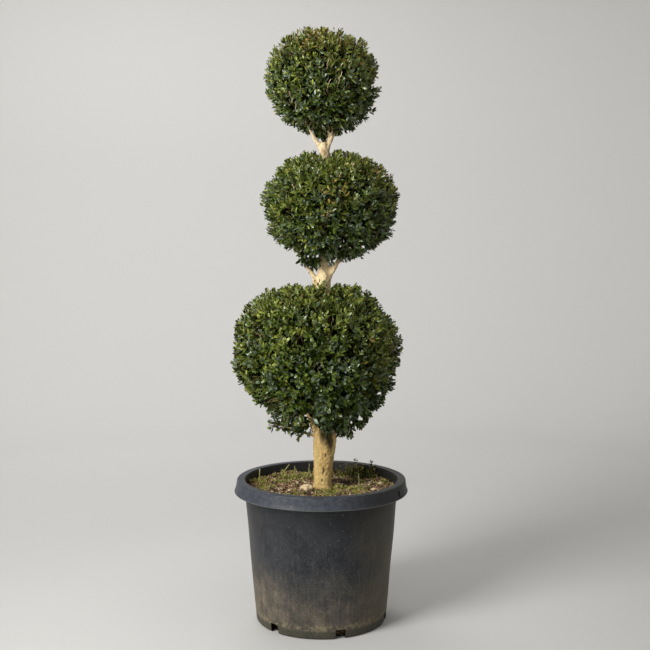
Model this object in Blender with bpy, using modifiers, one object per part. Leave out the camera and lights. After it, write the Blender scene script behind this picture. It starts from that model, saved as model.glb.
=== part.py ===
"""Triple ball topiary: a clipped evergreen shrub with three foliage balls on one stem, in a nursery pot.

Metres, +Z up. The origin is the centre of the pot's flat underside, and the plant's front faces -Y.
The pot, the soil, the trunk, each bough and each mass of foliage is one named object, and
neighbours keep a small gap. The foliage has fewer and larger leaves than the real plant.
"""

import math
import random

import bmesh
import bpy
from mathutils import Matrix, Vector

GAP = 0.0003  # clearance between pieces that touch on the real plant
SEED = 41

# Pot
POT_HEIGHT = 0.368
SKIRT_RADIUS = 0.225  # widest edge of the turned-down rim
SKIRT_DEPTH = 0.0325
SKIRT_BELT = 0.024  # depth at which the skirt starts to flare
RIM_RADIUS = 0.2184  # outer edge of the rim's flat top
WALL_FOOT_RADIUS = 0.1690  # outer radius of the wall at the floor
WALL_FLARE = 0.085  # growth of the wall's radius per metre of height
WALL_THICKNESS = 0.0025
SKIRT_THICKNESS = 0.003
FLOOR_THICKNESS = 0.003
FLOOR_FILLET = 0.004
FOOT_ROUNDING = 0.006
POT_STEPS = 32  # sides of the pot, and of the soil that fits in it

# Drain notches in the foot and slots in the skirt, placed by angle from +X
DRAIN_COUNT = 6
DRAIN_WIDTH, DRAIN_HEIGHT, DRAIN_REACH = 0.026, 0.024, 0.017
DRAIN_FIRST_ANGLE = math.radians(-73.4)
SLOT_ANGLES = (math.radians(-20.5), math.radians(159.5))
SLOT_WIDTH, SLOT_HEIGHT, SLOT_BOTTOM, SLOT_CUT_DEPTH = 0.005, 0.015, 0.342, 0.016
CUTTER_EXCESS = 0.010  # how far a drain cutter reaches below the pot

# Soil
SOIL_LEVEL = 0.3430  # under the trunk
SOIL_RELIEF = 0.004
SOIL_EDGE_DROP = 0.003
SOIL_SEAT_RADIUS = 0.040  # level ground that the trunk's foot stands on
SOIL_BLEND = 0.030  # width over which the unevenness sets in
SOIL_RINGS = 5

# Trunk: x, y, height and radius at each station, from the flat cut at soil level up to the top fork
TRUNK_STATIONS = (
    (0.003, 0.000, SOIL_LEVEL + GAP, 0.0262),
    (0.003, 0.000, 0.352, 0.0238),
    (0.0035, 0.000, 0.375, 0.0234),
    (0.0055, 0.001, 0.402, 0.0248),
    (0.0070, 0.002, 0.430, 0.0265),
    (0.0080, 0.003, 0.455, 0.0292),
    (0.0095, 0.004, 0.480, 0.0284),
    (0.010, 0.005, 0.510, 0.0245),
    (0.008, 0.005, 0.600, 0.0212),
    (0.005, 0.004, 0.740, 0.0200),
    (0.005, 0.001, 0.862, 0.0198),
    (0.0052, 0.000, 0.885, 0.0200),
    (0.0065, 0.000, 0.915, 0.0122),
    (0.012, 0.003, 1.000, 0.0124),
    (0.014, 0.003, 1.110, 0.0128),
    (0.0094, 0.000, 1.195, 0.0128),
    (0.0086, 0.000, 1.214, 0.0138),
)
TRUNK_SAMPLES = 2  # path points for each stretch between stations
TRUNK_RESOLUTION = 4  # 12 sides

# Boughs: height of the foot on the trunk's axis, azimuth from +X and rise in degrees, bend of the rise
# along the bough in degrees, length, foot radius and tip radius. A thicker one comes before its neighbours.
BOUGHS = {
    "bough_low_left": (0.444, 205, 62, 6, 0.112, 0.0112, 0.0060),
    "bough_low_side": (0.470, 180, 13, 6, 0.098, 0.0050, 0.0030),
    "bough_low_right": (0.422, -10, 71, -5, 0.134, 0.0096, 0.0052),
    "bough_low_back_right": (0.462, 62, 50, 4, 0.112, 0.0092, 0.0056),
    "bough_low_back_left": (0.472, 128, 48, 6, 0.108, 0.0088, 0.0054),
    "bough_low_front": (0.478, -62, 44, 6, 0.104, 0.0080, 0.0050),
    "bough_mid_left": (0.864, 190, 42, 22, 0.100, 0.0068, 0.0038),
    "bough_mid_right": (0.877, -10, 50, 8, 0.104, 0.0102, 0.0038),
    "bough_mid_back": (0.886, 96, 54, 4, 0.092, 0.0070, 0.0040),
    "bough_top_right": (1.200, -6, 74, -30, 0.104, 0.0112, 0.0044),
    "bough_top_left": (1.202, 184, 54, 8, 0.106, 0.0088, 0.0038),
    "bough_top_back": (1.202, 92, 64, 2, 0.092, 0.0072, 0.0042),
}
# The limb that splits off another bough: its carrier, the share of the carrier's length, then as above
FORK_BOUGH = "bough_top_inner"
FORK_CARRIER, FORK_SHARE = "bough_top_right", 0.40
FORK_SIZES = (150, 86, 0, 0.050, 0.0056, 0.0036)
BOUGH_POINTS = 6
BOUGH_RESOLUTION = 2  # 8 sides
TAPER_POWER = 1.4  # above 1, a bough thins faster near its foot

# Foliage balls: centre x, height of the widest level, half width, rise above and drop below that level,
# roundness of the upper and lower outline, sideways shift of the foot, numbers of shoots and of single
# leaves, and the boughs that carry the ball
BALLS = {
    "foliage_low": dict(
        x=-0.0127, z=0.712, half_width=0.2205, up=0.160, down=0.240, round_up=2.5, round_down=1.95,
        foot_shift=0.017, shoots=40, single_leaves=124, boughs="bough_low",
    ),
    "foliage_middle": dict(
        x=0.0224, z=1.085, half_width=0.1770, up=0.129, down=0.178, round_up=2.15, round_down=1.75,
        foot_shift=-0.013, shoots=28, single_leaves=86, boughs="bough_mid",
    ),
    "foliage_top": dict(
        x=0.0033, z=1.378, half_width=0.1438, up=0.139, down=0.138, round_up=2.3, round_down=1.95,
        foot_shift=0.004, shoots=22, single_leaves=62, boughs="bough_top",
    ),
}
SHELL = 0.021  # depth of the leafy shell between a ball's dense core and its outline
SHELL_THINNING = 0.35  # how much thinner the shell gets at the ball's foot
CORE_STEPS, CORE_RINGS = 20, 10
LUMP = 0.009  # unevenness of the clipping, as a share of the reach
OUTLINE_SLACK = 1.035  # a leaf that reaches past this share of the outline is left out

# Leaves and twigs
LEAF_LENGTH, LEAF_WIDTH, LEAF_THICKNESS = 0.045, 0.029, 0.0016
LEAF_WIDEST = 0.42  # share of the length at which a leaf is widest
LEAF_RIDGE = 0.0022  # height of the midrib over the rim
LEAF_SIZES = (0.88, 1.08)  # least and most of a leaf's size against the named one
TWIG_ROOT_RADIUS, TWIG_TIP_RADIUS = 0.0028, 0.0016
TWIG_TIP_DEPTH = 0.015  # of a shoot's tip under the outline
TWIG_TIP_SCATTER = 0.003
TWIG_SUNK, LEAF_SUNK = 0.012, 0.004  # how far the roots of shoots and of single leaves reach into the core
TWIG_RISE = 0.16  # upward turn of a shoot
LEAF_SPREADS = (math.radians(80), math.radians(60))  # angle between a leaf and its twig, lowest and top pair
PAIR_OFFSET = 0.0011  # half the step along the twig between the two leaves of a pair
TOP_PAIR, PAIRS_SPAN = 0.92, 0.34  # place of the top pair on the twig, and the stretch that the pairs take
LIMB_CLEARANCE = 0.005
GOLDEN_ANGLE = math.pi * (3 - math.sqrt(5))

# The loose spray that hangs out under the low ball on its side bough, and the space that is kept for it
SPRAY = "spray_low"
SPRAY_BOUGH = "bough_low_side"
SPRAY_LENGTH = 0.052
SPRAY_PAIRS = 4
SPRAY_PAIRS_SPAN = 0.68
SPRAY_LEAF_SIZE = 0.62
SPRAY_ROOM = 0.031


def clear_scene():
    for obj in list(bpy.data.objects):
        bpy.data.objects.remove(obj)


def new_collection(name):
    collection = bpy.data.collections.new(name)
    bpy.context.scene.collection.children.link(collection)
    return collection


def remove_collection(collection):
    for obj in list(collection.objects):
        bpy.data.objects.remove(obj)
    bpy.data.collections.remove(collection)


def new_material(name, colour, roughness, metallic=0.0):
    material = bpy.data.materials.new(name)
    material.use_nodes = True
    shader = material.node_tree.nodes["Principled BSDF"]
    shader.inputs["Base Color"].default_value = (*colour, 1.0)
    shader.inputs["Roughness"].default_value = roughness
    shader.inputs["Metallic"].default_value = metallic
    return material


def add_object(name, data, collection, material=None):
    obj = bpy.data.objects.new(name, data)
    collection.objects.link(obj)
    if material is not None:
        data.materials.append(material)
    return obj


def make_helper(obj):
    obj.hide_render = True
    obj.display_type = "WIRE"
    return obj


def mesh_from(name, shape):
    """A mesh made from a bmesh, which is then freed."""
    mesh = bpy.data.meshes.new(name)
    shape.to_mesh(mesh)
    shape.free()
    return mesh


def evaluated_mesh(obj):
    graph = bpy.context.evaluated_depsgraph_get()
    return bpy.data.meshes.new_from_object(obj.evaluated_get(graph))


def bake(obj):
    """Replaces the object's mesh by the evaluated one and drops its modifiers."""
    mesh = evaluated_mesh(obj)
    obj.modifiers.clear()
    obj.data = mesh
    return obj


def shade_round(obj, angle=math.radians(35)):
    obj.data.shade_smooth()
    obj.data.set_sharp_from_angle(angle=angle)


def turned(name, profile, steps, collection, material):
    """A solid of revolution from (radius, height) points that run down its outer side."""
    mesh = bpy.data.meshes.new(name)
    points = [(radius, 0.0, height) for radius, height in profile]
    mesh.from_pydata(points, [(i, i + 1) for i in range(len(points) - 1)], [])
    obj = add_object(name, mesh, collection, material)
    screw = obj.modifiers.new("Turn", "SCREW")
    screw.axis = "Z"
    screw.steps = screw.render_steps = steps
    screw.use_merge_vertices = True
    screw.merge_threshold = 0.00001
    screw.use_smooth_shade = True
    return obj


def fuse_or_cut(obj, operation, cutters):
    """One Boolean of the object with a whole collection."""
    boolean = obj.modifiers.new(operation.capitalize(), "BOOLEAN")
    boolean.operation = operation
    boolean.operand_type = "COLLECTION"
    boolean.collection = cutters
    return bake(obj)


def cut_clear_of(obj, limbs):
    """Takes each fattened limb away from the object."""
    for limb in limbs:
        cut = obj.modifiers.new("Clear of " + limb.name, "BOOLEAN")
        cut.operation = "DIFFERENCE"
        cut.object = limb
    keep_main_body(bake(obj).data)


def connected_faces(shape):
    """The groups of faces in a bmesh that hang together, largest area first."""
    seen, groups = set(), []
    for start in shape.faces:
        if start in seen:
            continue
        seen.add(start)
        group, waiting = [], [start]
        while waiting:
            face = waiting.pop()
            group.append(face)
            for edge in face.edges:
                for other in edge.link_faces:
                    if other not in seen:
                        seen.add(other)
                        waiting.append(other)
        groups.append(group)
    return sorted(groups, key=lambda faces: -sum(face.calc_area() for face in faces))


def keep_main_body(mesh):
    """Drops loose scraps and the walls of sealed hollows, so that one solid body is left, in triangles."""
    shape = bmesh.new()
    shape.from_mesh(mesh)
    flat = math.radians(0.05)
    bmesh.ops.dissolve_limit(shape, angle_limit=flat, verts=shape.verts, edges=shape.edges)
    spare = [face for group in connected_faces(shape)[1:] for face in group]
    bmesh.ops.delete(shape, geom=spare, context="FACES")
    bmesh.ops.triangulate(shape, faces=shape.faces)
    shape.to_mesh(mesh)
    shape.free()


def wall_radius(height):
    return WALL_FOOT_RADIUS + WALL_FLARE * height


def box_cutter(name, angle, radius, size, bottom, collection):
    """A box with its middle at this radius and angle, standing on the given height."""
    shape = bmesh.new()
    bmesh.ops.create_cube(shape, size=1.0)
    bmesh.ops.scale(shape, vec=size, verts=shape.verts)
    obj = make_helper(add_object(name, mesh_from(name, shape), collection))
    obj.rotation_euler.z = angle
    obj.location = (radius * math.cos(angle), radius * math.sin(angle), bottom + size[2] / 2)
    return obj


def make_pot(collection, cutters, material):
    """A thin tapered shell with a flat rim whose edge turns down into a flared skirt."""
    top, skirt_foot, belt = POT_HEIGHT, POT_HEIGHT - SKIRT_DEPTH, POT_HEIGHT - SKIRT_BELT
    inner_foot = wall_radius(0) - WALL_THICKNESS
    inner_top = wall_radius(top) - WALL_THICKNESS
    belt_radius = (RIM_RADIUS + SKIRT_RADIUS) / 2
    edge = SKIRT_THICKNESS * 0.75  # rounding of the rim's edges
    profile = [
        (0.0, FLOOR_THICKNESS),
        (inner_foot - FLOOR_FILLET, FLOOR_THICKNESS),
        (inner_foot, FLOOR_THICKNESS + FLOOR_FILLET),
        (inner_top, top - SKIRT_THICKNESS),
        (inner_top + edge / 3, top - edge / 3),
        (inner_top + edge, top),
        (RIM_RADIUS - edge, top),
        (RIM_RADIUS, top - edge),
        (belt_radius, belt),
        (SKIRT_RADIUS, skirt_foot + SKIRT_THICKNESS),
        (SKIRT_RADIUS - edge / 6, skirt_foot),
        (SKIRT_RADIUS - SKIRT_THICKNESS, skirt_foot),
        (belt_radius - SKIRT_THICKNESS, belt),
        (RIM_RADIUS - SKIRT_THICKNESS, top - SKIRT_THICKNESS),
        (wall_radius(top - SKIRT_THICKNESS), top - SKIRT_THICKNESS),
        (wall_radius(FOOT_ROUNDING), FOOT_ROUNDING),
        (wall_radius(0) - FOOT_ROUNDING * 0.3, FOOT_ROUNDING * 0.27),
        (wall_radius(0) - FOOT_ROUNDING, 0.0),
        (0.0, 0.0),
    ]
    pot = turned("pot", profile, POT_STEPS, collection, material)
    holes = bpy.data.collections.new("Pot holes")
    cutters.children.link(holes)
    drain = (2 * DRAIN_REACH, DRAIN_WIDTH, DRAIN_HEIGHT + CUTTER_EXCESS)
    for i in range(DRAIN_COUNT):
        angle = DRAIN_FIRST_ANGLE + i * math.tau / DRAIN_COUNT
        box_cutter(f"drain_cutter_{i}", angle, WALL_FOOT_RADIUS, drain, -CUTTER_EXCESS, holes)
    slot = (SLOT_CUT_DEPTH, SLOT_WIDTH, SLOT_HEIGHT)
    for i, angle in enumerate(SLOT_ANGLES):
        box_cutter(f"slot_cutter_{i}", angle, belt_radius, slot, SLOT_BOTTOM, holes)
    fuse_or_cut(pot, "DIFFERENCE", holes)
    shade_round(pot)


def soil_height(x, y):
    """Top of the soil: level under the trunk, uneven further out, and a little lower by the wall."""
    share = min(1.0, max(0.0, (math.hypot(x, y) - SOIL_SEAT_RADIUS) / SOIL_BLEND))
    waves = math.sin(31 * x + 1.3) * math.sin(27 * y + 0.4) + 0.6 * math.sin(57 * x - 43 * y + 2.1)
    return SOIL_LEVEL + share * (SOIL_RELIEF * waves - SOIL_EDGE_DROP)


def make_soil(collection, material):
    """The filling of the pot, from just over its floor to an uneven top."""
    foot = FLOOR_THICKNESS + GAP
    foot_radius = wall_radius(0) - WALL_THICKNESS - GAP
    top_radius = wall_radius(SOIL_LEVEL) - WALL_THICKNESS - 2 * GAP
    profile = [(top_radius * i / SOIL_RINGS, SOIL_LEVEL) for i in range(SOIL_RINGS + 1)]
    profile += [(foot_radius, foot + FLOOR_FILLET), (foot_radius - FLOOR_FILLET, foot), (0.0, foot)]
    soil = bake(turned("soil", profile, POT_STEPS, collection, material))
    for vertex in soil.data.vertices:
        if vertex.co.z > SOIL_LEVEL / 2:
            vertex.co.z = soil_height(vertex.co.x, vertex.co.y)
    shade_round(soil)


def smooth_path(stations, samples):
    """Catmull-Rom curve through stations of x, y, z and radius, whose first stretch stays straight."""
    rows = [stations[0]]
    last = len(stations) - 1
    for i in range(last):
        before, start, end, after = (stations[min(max(i + k, 0), last)] for k in (-1, 0, 1, 2))
        for step in range(1, samples + 1):
            t = step / samples
            if i == 0:
                rows.append([p + (q - p) * t for p, q in zip(start, end)])
                continue
            row = []
            for a, b, c, d in zip(before, start, end, after):
                bend = (2 * a - 5 * b + 4 * c - d) * t**2 + (3 * b - a - 3 * c + d) * t**3
                row.append(b + 0.5 * ((c - a) * t + bend))
            rows.append(row)
    return [(Vector(row[:3]), row[3]) for row in rows]


def point_at_height(path, height):
    for (low, _), (high, _) in zip(path, path[1:]):
        if low.z <= height <= high.z:
            return low.lerp(high, (height - low.z) / (high.z - low.z))
    return path[-1][0].copy()


def bough_path(foot, azimuth, rise, bend, length, foot_radius, tip_radius):
    """Points and radii of a limb that leaves its foot at an azimuth and rise, and bends evenly."""
    turn = math.radians(azimuth)
    point = foot.copy()
    path = [(point.copy(), foot_radius)]
    for i in range(1, BOUGH_POINTS + 1):
        share = i / BOUGH_POINTS
        slope = math.radians(rise + bend * share)
        heading = Vector((math.cos(turn) * math.cos(slope), math.sin(turn) * math.cos(slope), math.sin(slope)))
        point = point + heading * (length / BOUGH_POINTS)
        path.append((point.copy(), tip_radius + (foot_radius - tip_radius) * (1 - share) ** TAPER_POWER))
    return path


def limb_mesh(name, path, resolution, grow=0.0):
    """A tapering limb as a mesh: a bevelled poly curve with filled caps, thicker and longer by grow."""
    curve = bpy.data.curves.new(name, "CURVE")
    curve.dimensions = "3D"
    curve.bevel_depth = 1.0
    curve.bevel_resolution = resolution
    curve.use_fill_caps = True
    spline = curve.splines.new("POLY")
    spline.points.add(len(path) - 1)
    points = [point for point, _ in path]
    first = points[0] + (points[0] - points[1]).normalized() * grow
    last = points[-1] + (points[-1] - points[-2]).normalized() * grow
    for spot, point, (_, radius) in zip(spline.points, [first, *points[1:-1], last], path):
        spot.co = (*point, 1.0)
        spot.radius = radius + grow
    guide = bpy.data.objects.new(name + "_guide", curve)
    bpy.context.scene.collection.objects.link(guide)
    shape = bmesh.new()
    shape.from_mesh(evaluated_mesh(guide))
    bpy.data.objects.remove(guide)
    bmesh.ops.remove_doubles(shape, verts=shape.verts, dist=0.00002)
    return mesh_from(name, shape)


def limb_paths():
    """Points and radii of the trunk and of every bough, by name."""
    paths = {"trunk": smooth_path(TRUNK_STATIONS, TRUNK_SAMPLES)}
    for name, (height, *sizes) in BOUGHS.items():
        paths[name] = bough_path(point_at_height(paths["trunk"], height), *sizes)
    foot = paths[FORK_CARRIER][round(FORK_SHARE * BOUGH_POINTS)][0]
    paths[FORK_BOUGH] = bough_path(foot, *FORK_SIZES)
    return paths


def tier(name):
    """The first two words of a limb's name: the ball that it carries."""
    return "_".join(name.split("_")[:2])


def make_limbs(paths, collection, cutters, material):
    """The trunk and the boughs. Returns fattened copies of them, which keep their neighbours clear."""
    clearances, made = {}, []
    for name, path in paths.items():
        resolution = TRUNK_RESOLUTION if name == "trunk" else BOUGH_RESOLUTION
        limb = add_object(name, limb_mesh(name, path, resolution), collection, material)
        neighbours = [other for other in made if other == "trunk" or tier(other) == tier(name)]
        cut_clear_of(limb, [clearances[other] for other in neighbours])
        shade_round(limb)
        fat = limb_mesh(name + "_clearance", path, resolution, grow=GAP * 1.15)
        clearances[name] = make_helper(add_object(name + "_clearance", fat, cutters))
        made.append(name)
    return clearances


def lump(direction):
    """Slow waves over the ball, as hand clipping leaves them."""
    x, y, z = direction
    return LUMP * (math.sin(3.3 * x + 2.1 * z + 0.7) + math.sin(4.1 * y - 2.6 * x + 1.9) + math.sin(5.2 * z + 3.7 * y))


def reach(ball, direction):
    """Distance from the ball's centre to its clipped outline along a unit direction."""
    rising = direction.z > 0
    across = math.hypot(direction.x, direction.y) / ball["half_width"]
    along = abs(direction.z) / (ball["up"] if rising else ball["down"])
    power = ball["round_up"] if rising else ball["round_down"]
    return (1 + lump(direction)) / (across**power + along**power) ** (1 / power)


def ball_axis(ball, height):
    """The ball's middle line at this height, which leans towards the trunk in the lower part."""
    sink = max(0.0, (ball["z"] - height) / ball["down"])
    return Vector((ball["x"] + ball["foot_shift"] * sink**2, 0.0, ball["z"]))


def ball_point(ball, direction, depth):
    """The point that lies this deep under the outline, less deep at the ball's foot."""
    thinner = 1 + SHELL_THINNING * min(0.0, direction.z)
    local = direction * (reach(ball, direction) - depth * thinner)
    return ball_axis(ball, ball["z"] + local.z) + local


def inside_share(ball, point):
    """How far out the point lies, as a share of the reach in its direction."""
    local = point - ball_axis(ball, point.z)
    return local.length / reach(ball, local.normalized())


def spiral(count, first_turn, scatter, rng):
    """Directions spread evenly over a sphere on a golden-angle spiral, with a seeded scatter."""
    for i in range(count):
        height = 1 - 2 * (i + 0.5) / count
        turn = first_turn + i * GOLDEN_ANGLE + rng.uniform(-scatter, scatter)
        level = math.sqrt(1 - height**2)
        yield Vector((level * math.cos(turn), level * math.sin(turn), height))


def make_core(name, ball, collection, material):
    """The dense inner body of a ball: a turned sphere, pulled out to the bottom of the leafy shell."""
    angles = [math.pi * i / CORE_RINGS for i in range(CORE_RINGS + 1)]
    profile = [(math.sin(angle), math.cos(angle)) for angle in angles]
    profile[0], profile[-1] = (0.0, 1.0), (0.0, -1.0)
    core = bake(turned(name, profile, CORE_STEPS, collection, material))
    for vertex in core.data.vertices:
        vertex.co = ball_point(ball, vertex.co.normalized(), SHELL)
    core.data.shade_flat()
    return core


def leaf_shape():
    """One leaf of eight faces from a four-sided sphere, with its root at the origin and its blade along +X."""
    shape = bmesh.new()
    bmesh.ops.create_uvsphere(shape, u_segments=4, v_segments=2, radius=0.5)
    for vertex in shape.verts:
        x, y, z = vertex.co
        on_ends = abs(x) > 0.1
        on_rim = on_ends or abs(y) > 0.1
        vertex.co.x = (x + 0.5 if on_ends else LEAF_WIDEST) * LEAF_LENGTH
        vertex.co.y = y * LEAF_WIDTH
        vertex.co.z = z * LEAF_THICKNESS + (0.0 if on_rim else LEAF_RIDGE)
    return mesh_from("leaf", shape)


def near_limb(points, limbs):
    """Whether any of the points comes within the clearance of a limb."""
    for path in limbs:
        for (start, start_radius), (end, end_radius) in zip(path, path[1:]):
            span = end - start
            room = max(start_radius, end_radius) + LIMB_CLEARANCE
            for point in points:
                t = min(1.0, max(0.0, (point - start).dot(span) / span.length_squared))
                if (point - start - span * t).length < room:
                    return True
    return False


def add_twig(name, root, tip, root_radius, collection):
    """A three-sided tapering twig between two points."""
    shape = bmesh.new()
    bmesh.ops.create_cone(
        shape, cap_ends=True, segments=3, radius1=root_radius, radius2=TWIG_TIP_RADIUS, depth=(tip - root).length,
    )
    twig = make_helper(add_object(name, mesh_from(name, shape), collection))
    turn = (tip - root).to_track_quat("Z", "Y").to_matrix().to_4x4()
    twig.matrix_world = Matrix.Translation((root + tip) / 2) @ turn
    return twig


def add_leaf(name, root, heading, facing, scale, allowed, leaf_mesh, collection):
    """Adds a leaf along heading with its upper side towards facing, unless its outline isn't allowed."""
    across = facing.cross(heading).normalized()
    middle = root + heading * LEAF_LENGTH * LEAF_WIDEST * scale
    half = across * LEAF_WIDTH * 0.5 * scale
    corners = [root, middle + half, root + heading * LEAF_LENGTH * scale, middle - half]
    sides = [(a + b) / 2 for a, b in zip(corners, corners[1:] + corners[:1])]
    if not allowed([*corners, *sides, middle]):
        return 0
    leaf = make_helper(add_object(name, leaf_mesh, collection))
    turn = Matrix((heading, across, heading.cross(across))).transposed().to_4x4()
    leaf.matrix_world = Matrix.Translation(root) @ turn @ Matrix.Scale(scale, 4)
    return 1


def add_shoot(name, root, tip, allowed, rng, leaf_mesh, collection, pairs=2, pairs_span=PAIRS_SPAN, size=1.0):
    """One twig with leaf pairs up to its tip, each pair a quarter turn from the last."""
    add_twig(name + "_twig", root, tip, TWIG_ROOT_RADIUS, collection)
    stem = (tip - root).normalized()
    side = stem.orthogonal().normalized()
    side.rotate(Matrix.Rotation(rng.uniform(0, math.tau), 3, stem))
    count = 0
    for pair in range(pairs):
        share = pair / (pairs - 1)
        base = root.lerp(tip, TOP_PAIR - pairs_span * (1 - share))
        spread = LEAF_SPREADS[0] + (LEAF_SPREADS[1] - LEAF_SPREADS[0]) * share
        side.rotate(Matrix.Rotation(math.pi / 2, 3, stem))
        for sign in (1, -1):
            angle = spread + rng.uniform(-0.15, 0.15)
            heading = (stem * math.cos(angle) + side * sign * math.sin(angle)).normalized()
            facing = (stem - heading * stem.dot(heading) + Vector((0, 0, 0.25))).normalized()
            scale = size * rng.uniform(*LEAF_SIZES)
            spot = base + stem * sign * PAIR_OFFSET
            count += add_leaf(f"{name}_leaf_{pair}", spot, heading, facing, scale, allowed, leaf_mesh, collection)
    return count


def make_foliage(name, ball, paths, clearances, spray_stem, collection, material, leaf_mesh):
    """One clipped ball: a core cut clear of its limbs, with leafy shoots and single leaves fused on."""
    rng = random.Random(f"{name} {SEED}")
    core = make_core(name, ball, collection, material)
    carriers = ["trunk"] + [limb for limb in paths if limb.startswith(ball["boughs"])]
    cut_clear_of(core, [clearances[limb] for limb in carriers])
    limbs = [paths[limb] for limb in carriers]
    kept_free = limbs + [[(point, SPRAY_ROOM) for point in spray_stem]]
    leafage = new_collection(name + " leafage")

    def allowed(points):
        return not near_limb(points, kept_free) and all(inside_share(ball, point) < OUTLINE_SLACK for point in points)

    leaves = 0
    for i, outwards in enumerate(spiral(ball["shoots"], 0.0, 0.12, rng)):
        upwards = (outwards + Vector((0, 0, TWIG_RISE))).normalized()
        root = ball_point(ball, outwards, SHELL + TWIG_SUNK)
        tip = ball_point(ball, upwards, TWIG_TIP_DEPTH + rng.uniform(-0.3, 1) * TWIG_TIP_SCATTER)
        if not near_limb([root.lerp(tip, step / 4) for step in range(5)], limbs):
            leaves += add_shoot(f"{name}_{i}", root, tip, allowed, rng, leaf_mesh, leafage)
    for i, outwards in enumerate(spiral(ball["single_leaves"], 2.0, 0.2, rng)):
        aside = outwards.orthogonal()
        aside.rotate(Matrix.Rotation(rng.uniform(0, math.tau), 3, outwards))
        heading = (aside + outwards * 0.75 + Vector((0, 0, 0.4))).normalized()
        facing = (outwards + Vector((0, 0, 0.3))).normalized()
        root = ball_point(ball, outwards, SHELL + LEAF_SUNK)
        scale = rng.uniform(*LEAF_SIZES)
        leaves += add_leaf(f"{name}_single_{i}", root, heading, facing, scale, allowed, leaf_mesh, leafage)
    fuse_or_cut(core, "UNION", leafage)
    keep_main_body(core.data)
    remove_collection(leafage)
    print(f"{name}: {leaves} leaves, {len(core.data.polygons)} triangles")


def spray_path(paths):
    """Root and tip of the loose spray, which carries the side bough on."""
    bough_tip = paths[SPRAY_BOUGH][-1][0]
    stem = (bough_tip - paths[SPRAY_BOUGH][-2][0]).normalized()
    root = bough_tip + stem * GAP
    return root, root + (stem + Vector((0, -0.1, -0.12))).normalized() * SPRAY_LENGTH


def make_spray(paths, clearances, collection, material, leaf_mesh):
    """The loose spray past the tip of the side bough: a stem with leaf pairs, in a space of its own."""
    rng = random.Random(f"{SPRAY} {SEED}")
    root, tip = spray_path(paths)
    stem = (tip - root).normalized()
    limbs = [path for name, path in paths.items() if name != SPRAY_BOUGH]
    leafage = new_collection(SPRAY + " leafage")

    def allowed(points):
        for point in points:
            along = (point - root).dot(stem)
            beside = (point - root - stem * along).length
            if along < -LIMB_CLEARANCE or beside > SPRAY_ROOM - LIMB_CLEARANCE:
                return False
        return not near_limb(points, limbs)

    sizes = dict(pairs=SPRAY_PAIRS, pairs_span=SPRAY_PAIRS_SPAN, size=SPRAY_LEAF_SIZE)
    add_shoot(SPRAY, root, tip, allowed, rng, leaf_mesh, leafage, **sizes)
    spray = add_twig(SPRAY, root, root.lerp(tip, 0.5), paths[SPRAY_BOUGH][-1][1], collection)
    spray.hide_render = False
    spray.display_type = "TEXTURED"
    spray.data.materials.append(material)
    fuse_or_cut(spray, "UNION", leafage)
    cut_clear_of(spray, [clearances[SPRAY_BOUGH]])
    remove_collection(leafage)


def main():
    clear_scene()
    parts = new_collection("Triple ball topiary")
    cutters = new_collection("Cutters")
    plastic = new_material("pot plastic", (0.040, 0.044, 0.050), 0.55)
    earth = new_material("potting soil", (0.105, 0.070, 0.045), 0.95)
    bark = new_material("bark", (0.560, 0.430, 0.250), 0.80)
    leaf_green = new_material("leaves", (0.055, 0.110, 0.030), 0.50)
    make_pot(parts, cutters, plastic)
    make_soil(parts, earth)
    paths = limb_paths()
    clearances = make_limbs(paths, parts, cutters, bark)
    leaf_mesh = leaf_shape()
    for name, ball in BALLS.items():
        make_foliage(name, ball, paths, clearances, spray_path(paths), parts, leaf_green, leaf_mesh)
    make_spray(paths, clearances, parts, leaf_green, leaf_mesh)


main()
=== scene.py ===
import math

import bpy
import numpy as np
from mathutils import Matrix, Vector


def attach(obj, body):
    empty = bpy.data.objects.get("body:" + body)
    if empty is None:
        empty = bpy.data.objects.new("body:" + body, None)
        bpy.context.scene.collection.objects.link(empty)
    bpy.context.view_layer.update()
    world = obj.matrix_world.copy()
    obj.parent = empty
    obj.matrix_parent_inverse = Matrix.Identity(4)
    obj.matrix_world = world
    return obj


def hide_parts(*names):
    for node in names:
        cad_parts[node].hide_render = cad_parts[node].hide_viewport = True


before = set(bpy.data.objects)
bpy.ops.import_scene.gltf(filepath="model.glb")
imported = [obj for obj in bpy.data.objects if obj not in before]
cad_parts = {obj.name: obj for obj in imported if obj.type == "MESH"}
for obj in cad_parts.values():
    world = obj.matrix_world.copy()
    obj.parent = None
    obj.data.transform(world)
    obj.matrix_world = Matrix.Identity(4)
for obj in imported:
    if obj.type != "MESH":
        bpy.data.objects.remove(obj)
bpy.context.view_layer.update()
print("frame loaded:", len(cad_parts), "nodes")

# Triple ball topiary in its pot. Metres, +Z up, front towards -Y, origin under the pot's middle.
# Limbs, outlines and growth follow the frame's own rules; here they carry on to every twig and leaf.

# Camera, lights and backdrop

camera = {
    "place": (0.0098, -2.646, 0.974),
    "tilt": 4.5,  # degrees below level
    "sensor": 36.0,
    "lens": 57.2,
    "frame": 650,  # pixels, both ways
}

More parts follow.
